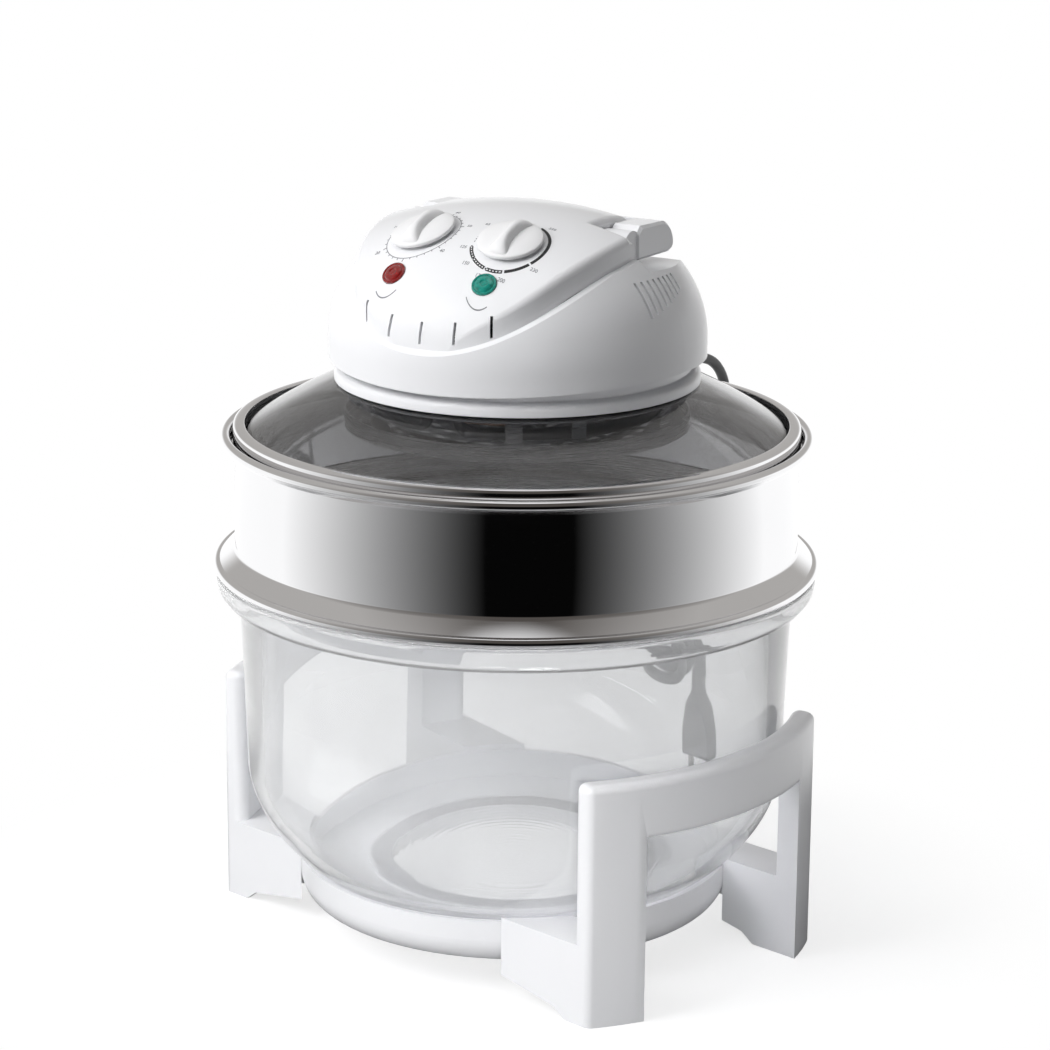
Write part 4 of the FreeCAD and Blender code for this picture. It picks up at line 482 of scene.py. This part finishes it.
def turned_mesh(name, outline, steps=TURNED_STEPS, place=None):
    """Turns a closed outline of radius and height about the Z axis."""
    build = bmesh.new()
    rings = []
    for step in range(steps):
        angle = 360 * step / steps
        rings.append([
            build.verts.new((r * cosine(angle) * MM, r * sine(angle) * MM, z * MM)) for r, z in outline
        ])
    count = len(outline)
    for step in range(steps):
        near = rings[step]
        far = rings[(step + 1) % steps]
        for index in range(count):
            following = (index + 1) % count
            build.faces.new((near[index], far[index], far[following], near[following]))
    bmesh.ops.remove_doubles(build, verts=build.verts, dist=1e-7)
    bmesh.ops.dissolve_degenerate(build, edges=build.edges, dist=1e-7)
    bmesh.ops.recalc_face_normals(build, faces=build.faces)
    if place is not None:
        build.transform(place)
    mesh = bpy.data.meshes.new(name)
    build.to_mesh(mesh)
    build.free()
    return mesh


def turned_piece(name, outline, material, body, replaced):
    mesh = turned_mesh(name, outline)
    return finish_piece(name, mesh, material, body, replaced)


def arc(point, heading, radius, turn, steps):
    """The points after the first on an arc that turns left by an angle."""
    points = []
    for step in range(1, steps + 1):
        share = turn * step / steps
        x = point[0] + radius * (sine(heading + share) - sine(heading))
        y = point[1] - radius * (cosine(heading + share) - cosine(heading))
        points.append((x, y))
    return points


# Glass bowl

BOWL_SEAT = 31
BOWL_FOOT = 82
BOWL_WALL = 5
BOWL_ARCS = ((59, 37.2), (93, 22.6), (61, 25))
LIP_START = 193.5
LIP_OUTER = 166
LIP_TOP = 208.8
RING_PITCH = 4
RING_HEIGHT = 0.05


def bowl_side(offset):
    """The bowl's curved side, moved inwards by an offset."""
    point = (BOWL_FOOT, BOWL_SEAT)
    heading = 0
    start = (point[0], point[1] + offset)
    side = [start]
    for radius, turn in BOWL_ARCS:
        side += arc(side[-1], heading, radius - offset, turn, 14)
        heading += turn
    return side


def bowl_outline():
    outside = bowl_side(0)
    inside = bowl_side(BOWL_WALL)
    lip = [
        (outside[-1][0] + 2.6, LIP_START, 4),
        (LIP_OUTER - 4.2, LIP_START + 1, 2.4),
        (LIP_OUTER - 1.1, LIP_START + 5, 2),
        (LIP_OUTER, LIP_TOP - 6, 2),
        (LIP_OUTER, LIP_TOP, 3),
        (LIP_OUTER - 11.4, LIP_TOP, 3),
        (LIP_OUTER - 11.4, LIP_TOP - 8, 3),
    ]
    bottom = []
    reach = int(BOWL_FOOT)
    for step in range(reach, -1, -1):
        fade = min(1, (reach - step) / 8)
        wave = RING_HEIGHT * fade * cosine(360 * step / RING_PITCH)
        bottom.append((step, BOWL_SEAT + BOWL_WALL + wave))
    outline = [(0, BOWL_SEAT)] + outside + [tuple(p) for p in rounded(lip)] + inside[::-1]
    return outline + bottom[1:]


def add_bowl(materials):
    turned_piece("GlassBowl", bowl_outline(), materials["clear_glass"], "bowl", ["glass_bowl"])


# Extender ring

BAND_OUTER = 155.6
SHEET = 1
BEAD = 2.8
LOW_BEAD = (164.7, 211.9)
HIGH_BEAD = (160.2, 283)


def bead_points(centre, first, last, steps):
    points = []
    for step in range(steps + 1):
        angle = first + (last - first) * step / steps
        points.append((centre[0] + BEAD * cosine(angle), centre[1] + BEAD * sine(angle)))
    return points


def extender_outline():
    inner = BAND_OUTER - SHEET
    shoulder = [
        (BAND_OUTER + 1.2, 221.2),
        (BAND_OUTER + 0.2, 222.3),
        (BAND_OUTER, 223.6),
        (BAND_OUTER, 277.2),
        (BAND_OUTER + 0.3, 277.8),
        (BAND_OUTER + 1, 278),
        (HIGH_BEAD[0] - 1.6, 278),
    ]
    return [
        (inner, 223),
        (inner + 0.4, 221.4),
        (inner + 1.2, 220.2),
        *bead_points(LOW_BEAD, 165, 465, 30),
        *shoulder,
        *bead_points(HIGH_BEAD, 270, 585, 30),
        (HIGH_BEAD[0] - 2.8, 279),
        (inner, 279),
    ]


def add_extender(materials):
    material = materials["mirror_steel"]
    turned_piece("ExtenderRing", extender_outline(), material, "extender", ["extender_ring"])


# Lid and collar

RIM_INNER = 149.5
RIM_OUTER = 156
RIM_BOTTOM = 279.3
RIM_TOP = 290.5
GLASS_HOLE = 86
GLASS_SHOULDER = 98
GLASS_EDGE = 154
GLASS_LOW = 287
GLASS_HIGH = 315
GLASS_WALL = 4
GLASS_BULGE = 3.9


def lid_slope(low_radius, high_radius, drop, steps=18):
    """The lid's domed slope from its edge up to its shoulder."""
    points = []
    for step in range(steps + 1):
        share = step / steps
        radius = low_radius + (high_radius - low_radius) * share
        height = GLASS_LOW + (GLASS_HIGH - GLASS_LOW) * share + GLASS_BULGE * 4 * share * (1 - share) / 4
        points.append((radius, height - drop))
    return points


def lid_outline():
    upper = lid_slope(RIM_INNER, GLASS_SHOULDER, 0)
    lower = lid_slope(RIM_INNER - 0.9, GLASS_SHOULDER - 0.9, GLASS_WALL)
    return [
        (GLASS_HOLE, GLASS_HIGH - GLASS_WALL),
        *lower[::-1],
        (GLASS_EDGE, GLASS_LOW - GLASS_WALL),
        (GLASS_EDGE, GLASS_LOW),
        *upper,
        (GLASS_HOLE, GLASS_HIGH),
    ]


def rim_outline():
    wall = 0.8
    return rounded([
        (RIM_INNER, RIM_BOTTOM, 0.2),
        (RIM_OUTER, RIM_BOTTOM, 1.2),
        (RIM_OUTER, RIM_TOP, 2.6),
        (RIM_INNER, RIM_TOP, 0.6),
        (RIM_INNER, RIM_TOP - wall, 0.1),
        (RIM_OUTER - wall, RIM_TOP - wall, 1.8),
        (RIM_OUTER - wall, RIM_BOTTOM + wall, 0.6),
        (RIM_INNER, RIM_BOTTOM + wall, 0.1),
    ])


def collar_outline():
    inner = 84
    outer = 100.5
    seat = 316.5
    neck = 95
    return rounded([
        (inner, seat),
        (outer - 1.4, seat),
        (outer - 1.4, seat - 1.9, 0.3),
        (outer, seat - 1.9, 0.6),
        (outer, seat + 3.4, 2.4),
        (outer - 3.4, 322, 2),
        (neck, 322, 1),
        (neck, 330, 0.5),
        (neck - 3, 330, 0.5),
        (neck - 3, 319.5, 0.5),
        (inner, 319.5, 0.3),
    ])


def add_lid(materials):
    turned_piece("GlassLid", lid_outline(), materials["lid_glass"], "head", ["glass_lid"])
    turned_piece("LidRim", rim_outline(), materials["mirror_steel"], "head", ["lid_rim"])
    turned_piece("HeadCollar", collar_outline(), materials["white_plastic"], "head",
                 ["head_collar"])


# Control panel

PANEL_WIDE = 135
PANEL_DEEP = 100
PANEL_RISE = 64
PANEL_BASE = 347
KNOB_ASIDE = 27
KNOB_FORWARD = 53
LAMP_ASIDE = 28
LAMP_FORWARD = 81


def panel_place(aside, forward, lift=0):
    """The place on the panel's domed surface with its Z square to it, in metres."""
    up = math.sqrt(1 - (aside / PANEL_WIDE) ** 2 - (forward / PANEL_DEEP) ** 2)
    spot = Vector((aside, -forward, PANEL_BASE + PANEL_RISE * up))
    normal = Vector((aside / PANEL_WIDE ** 2, -forward / PANEL_DEEP ** 2, up / PANEL_RISE)).normalized()
    right = Vector((1, 0, 0))
    right = (right - normal * right.dot(normal)).normalized()
    turn = Matrix((right, normal.cross(right), normal)).transposed()
    return Matrix.Translation((spot + normal * lift) * MM) @ turn.to_4x4()


def on_panel(centre, radius, angle, lift):
    """A point round a centre on the panel; angle 0 points away from the nose, clockwise from above."""
    place = panel_place(centre[0] + radius * sine(angle), centre[1] - radius * cosine(angle), lift)
    return place.translation


PRINT_TOP = 0.1
PRINT_SUNK = -0.15


def add_print(name, centre, marks, material):
    """Printed marks as thin plates: each is inner radius, outer radius, start angle, end angle."""
    build = bmesh.new()
    for inner, outer, start, end in marks:
        steps = max(1, math.ceil(abs(end - start) / 4))
        rows = []
        for step in range(steps + 1):
            angle = start + (end - start) * step / steps
            rows.append([
                build.verts.new(on_panel(centre, radius, angle, lift))
                for radius, lift in ((inner, PRINT_SUNK), (outer, PRINT_SUNK), (outer, PRINT_TOP), (inner, PRINT_TOP))
            ])
        for near, far in zip(rows, rows[1:]):
            for index in range(4):
                following = (index + 1) % 4
                build.faces.new((near[index], far[index], far[following], near[following]))
        build.faces.new(rows[0])
        build.faces.new(rows[-1][::-1])
    bmesh.ops.recalc_face_normals(build, faces=build.faces)
    mesh = bpy.data.meshes.new(name)
    build.to_mesh(mesh)
    build.free()
    return finish_piece(name, mesh, material, "head")


def add_dial_prints(materials):
    ring = 19.7
    timer = (-KNOB_ASIDE, KNOB_FORWARD)
    marks = [(ring, ring + 0.35, 12, 348)]
    for index in range(31):
        angle = 15 + index * 11
        longer = 1.8 if index % 5 == 0 else 0.9
        marks.append((ring + 0.35, ring + 0.35 + longer, angle - 0.6, angle + 0.6))
    add_print("TimerMarks", timer, marks, materials["grey_ink"])
    heat = (KNOB_ASIDE, KNOB_FORWARD)
    marks = [(ring, ring + 1.7, 20, 118), (ring, ring + 1.7, 121, 158)]
    marks.append((ring, ring + 1.7, -1, 3))
    for start in (161, 191, 219):
        marks += [(ring, ring + 0.6, start, start + 26), (ring + 1.3, ring + 1.9, start, start + 26)]
        for index in range(6):
            angle = start + 5.2 * index
            marks.append((ring + 0.5, ring + 1.4, angle - 1.1 + 1.1, angle + 2.2))
    for index in range(16):
        angle = 256 + index * 6
        marks.append((ring, ring + 0.4, angle, angle + 2.6))
    add_print("HeatMarks", heat, marks, materials["print_ink"])
    for side, name in ((-1, "PowerLampMark"), (1, "HeatLampMark")):
        centre = (side * LAMP_ASIDE, LAMP_FORWARD)
        add_print(name, centre, [(9.4, 9.8, 140, 225)], materials["grey_ink"])


def add_numbers(name, centre, radius, numbers, size, material):
    """Plain numbers round a dial, bent onto the panel."""
    build = bmesh.new()
    for angle, text in numbers:
        curve = bpy.data.curves.new(name, "FONT")
        curve.body = text
        curve.size = size
        curve.align_x = "CENTER"
        curve.align_y = "CENTER"
        curve.extrude = (PRINT_TOP - PRINT_SUNK) / 2
        curve.resolution_u = 4
        holder = bpy.data.objects.new(name, curve)
        flat = bpy.data.meshes.new_from_object(holder)
        bpy.data.objects.remove(holder)
        bpy.data.curves.remove(curve)
        middle = (centre[0] + radius * sine(angle), centre[1] - radius * cosine(angle))
        for vertex in flat.vertices:
            lift = PRINT_SUNK + (PRINT_TOP - PRINT_SUNK) / 2 + vertex.co.z
            vertex.co = panel_place(middle[0] + vertex.co.x, middle[1] - vertex.co.y, lift).translation
        build.from_mesh(flat)
        bpy.data.meshes.remove(flat)
    bmesh.ops.remove_doubles(build, verts=build.verts, dist=1e-6)
    mesh = bpy.data.meshes.new(name)
    build.to_mesh(mesh)
    build.free()
    return finish_piece(name, mesh, material, "head")


def add_dial_numbers(materials):
    minutes = [(15 + 55 * index, str(60 - 10 * index)) for index in range(7)]
    add_numbers("TimerNumbers", (-KNOB_ASIDE, KNOB_FORWARD), 24.8, minutes, 2.9, materials["grey_ink"])
    degrees = [(30, "250"), (120, "230"), (160, "200"), (190, "175"), (218, "150"), (247, "125"),
               (300, "65")]
    add_numbers("HeatNumbers", (KNOB_ASIDE, KNOB_FORWARD), 25.2, degrees, 2.9, materials["grey_ink"])


KNOB_RADIUS = 17.8
FIN_FOOT = 2.6
FIN_CREST = 6.4


def knob_dish():
    """The dial's low dome, as an outline about its own axis."""
    return rounded([
        (0, 1),
        (KNOB_RADIUS, 1, 0.4),
        (KNOB_RADIUS, 2.8, 0.8),
        (KNOB_RADIUS - 4, 4.1, 3),
        (KNOB_RADIUS - 10, 4.8, 4),
        (0, 5, 6),
    ])


def fin_mesh(build, place):
    """The finger grip: a fin with hollow sides and a rounded crest."""
    reach = KNOB_RADIUS - 1.6
    rows = []
    steps = 24
    for row in range(steps + 1):
        along = -1 + 2 * row / steps
        half = 2.9 + 3.3 * abs(along) ** 2.2 * (1 - abs(along) ** 8 * 0.75)
        crest = 3 + FIN_CREST * max(0, 1 - abs(along) ** 2.6) ** 0.62
        ring = []
        for step in range(13):
            angle = 180 * step / 12
            spread = math.copysign(abs(cosine(angle)) ** 0.7, cosine(angle))
            rise = abs(sine(angle)) ** 0.75
            x = half * spread * (1 + 0.35 * (1 - rise))
            height = FIN_FOOT + (crest - FIN_FOOT) * rise
            ring.append(build.verts.new(place @ Vector((x, along * reach, height))))
        rows.append(ring)
    for near, far in zip(rows, rows[1:]):
        for index in range(12):
            build.faces.new((near[index], far[index], far[index + 1], near[index + 1]))
        build.faces.new((near[12], far[12], far[0], near[0]))
    build.faces.new(rows[0])
    build.faces.new(rows[-1][::-1])


def add_knob(side, name, body, replaced, turn, material):
    place = panel_place(side * KNOB_ASIDE, KNOB_FORWARD)
    scale = Matrix.Diagonal((MM, MM, MM, 1))
    build = bmesh.new()
    build.from_mesh(turned_mesh(name, knob_dish(), steps=96))
    build.transform(place)
    fin_mesh(build, place @ Matrix.Rotation(math.radians(turn), 4, "Z") @ scale)
    bmesh.ops.recalc_face_normals(build, faces=build.faces)
    mesh = bpy.data.meshes.new(name)
    build.to_mesh(mesh)
    build.free()
    finish_piece(name, mesh, material, body, [replaced], sharp=50)


LENS_RADIUS = 6.8


def lens_outline():
    """A lamp lens: a snap skirt, a raised ring, a groove and a low dome with a moulded eye."""
    return rounded([
        (0, -0.6),
        (LENS_RADIUS - 1.2, -0.6),
        (LENS_RADIUS - 1.2, -5),
        (LENS_RADIUS, -5),
        (LENS_RADIUS, 0.7, 0.3),
        (LENS_RADIUS - 0.8, 1, 0.3),
        (LENS_RADIUS - 1.3, 0.5, 0.2),
        (LENS_RADIUS - 2.2, 1.4, 0.8),
        (2.3, 1.9, 0.8),
        (1.7, 1.3, 0.3),
        (0, 1.6),
    ])


def add_lens(side, name, replaced, material):
    place = panel_place(side * LAMP_ASIDE, LAMP_FORWARD)
    mesh = turned_mesh(name, lens_outline(), steps=72, place=place)
    finish_piece(name, mesh, material, "head", [replaced])


def add_controls(materials):
    add_lens(-1, "PowerLens", "power_lamp_lens", materials["red_lens"])
    add_lens(1, "HeatLens", "heat_lamp_lens", materials["green_lens"])
    add_knob(-1, "TimerKnob", "timer_dial", "timer_knob", 0, materials["knob_plastic"])
    add_knob(1, "HeatKnob", "temperature_dial", "temperature_knob", 0, materials["knob_plastic"])
    add_dial_prints(materials)
    add_dial_numbers(materials)


# Cord and its hank

CORD = 6
HANK_ASIDE = 8
HANK_REAR = 183.5
HANK_HEIGHT = 118
HANK_RUN = 31
HANK_LOBE = 17
HANK_WAIST = 9.2
HANK_PITCH = 7.4
HANK_LOOPS = 4
HANK_START = -0.125
HANK_END = HANK_LOOPS + 0.125
HANK_STUB = 6
RELIEF_DIP = 38
RELIEF_HEIGHT = 336
RELIEF_END = 30
CORD_TURN = 12


def relief_point(distance):
    """A point on the strain relief's axis."""
    level = Vector((cosine(90 - CORD_TURN), sine(90 - CORD_TURN), 0))
    direction = level * cosine(RELIEF_DIP) - Vector((0, 0, sine(RELIEF_DIP)))
    return Vector((0, 0, RELIEF_HEIGHT)) + level * 103 + direction * distance


def hank_depth(turn):
    folded = turn - 2 if turn > 2 else turn
    return folded if folded < 1 else 2 - folded


def hank_layer(turn):
    whole = round(turn)
    if abs(turn - whole) < 0.01 and 0 < whole < HANK_LOOPS:
        return whole - 0.5
    return min(max(math.floor(turn), 0), HANK_LOOPS - 1)


def hank_points():
    """The hanging loops: per loop a waist, a lobe, an end, a lobe, a waist and back."""
    points = []
    steps = int((HANK_END - HANK_START) * 8)
    for step in range(steps + 1):
        turn = HANK_START + step / 8
        depth = hank_depth(turn) * HANK_PITCH
        lobe = HANK_LOBE - depth
        waist = HANK_WAIST - depth
        corner = 0.55
        rear = HANK_REAR + (hank_layer(turn) - (HANK_LOOPS - 1) / 2) * HANK_PITCH
        eighth = round(turn * 8) % 8
        spots = {
            0: [(waist, 0)],
            1: [(lobe, -HANK_RUN), (lobe, -HANK_RUN - lobe * corner)],
            2: [(lobe * corner, -HANK_RUN - lobe), (-lobe * corner, -HANK_RUN - lobe)],
            3: [(-lobe, -HANK_RUN - lobe * corner), (-lobe, -HANK_RUN)],
            4: [(-waist, 0)],
            5: [(-lobe, HANK_RUN), (-lobe, HANK_RUN + lobe * corner)],
            6: [(-lobe * corner, HANK_RUN + lobe), (lobe * corner, HANK_RUN + lobe)],
            7: [(lobe, HANK_RUN + lobe * corner), (lobe, HANK_RUN)],
        }[eighth]
        if step == 0:
            spots = [(lobe, HANK_RUN + HANK_STUB)]
        for across, rise in spots:
            points.append(Vector((HANK_ASIDE + across, rear, HANK_HEIGHT + rise)))
    return points


def cord_route():
    """Out of the strain relief, over the lid's rear edge, down to the hank and round its loops."""
    hank = hank_points()
    free = [
        relief_point(RELIEF_END - 6),
        relief_point(RELIEF_END + 16),
        Vector((31.6, 148.7, 302)),
        Vector((34.9, 164.3, 297.5)),
        Vector((36.5, 175.5, 283.5)),
        Vector((36, 178, 264)),
        Vector((35, 179.5, 238)),
        Vector((31.5, 177.5, 211)),
        hank[0] + Vector((0, 0, 27)),
    ]
    return free + hank


def add_cord(materials):
    route = cord_route()
    curve = bpy.data.curves.new("PowerCord", "CURVE")
    curve.dimensions = "3D"
    spline = curve.splines.new("NURBS")
    spline.points.add(len(route) - 1)
    for point, spot in zip(spline.points, route):
        point.co = (*(spot * MM), 1)
    spline.order_u = 3
    spline.use_endpoint_u = True
    spline.resolution_u = 8
    curve.bevel_depth = CORD / 2 * MM
    curve.bevel_resolution = 6
    curve.use_fill_caps = True
    curve.materials.append(materials["cord_grey"])
    cord = bpy.data.objects.new("PowerCord", curve)
    bpy.context.scene.collection.objects.link(cord)
    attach(cord, "head")
    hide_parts("power_cord", "cord_hank")


def build_scene():
    bpy.context.scene.view_settings.view_transform = "Standard"
    add_camera()
    add_stage()
    materials = make_materials()
    paint_frame(materials)
    add_bowl(materials)
    add_extender(materials)
    add_lid(materials)
    add_controls(materials)
    add_cord(materials)
    for name, width in (("stand_handle_right", 6), ("stand_handle_left", 6), ("carry_handle", 2.6)):
        soften(name, width)


build_scene()
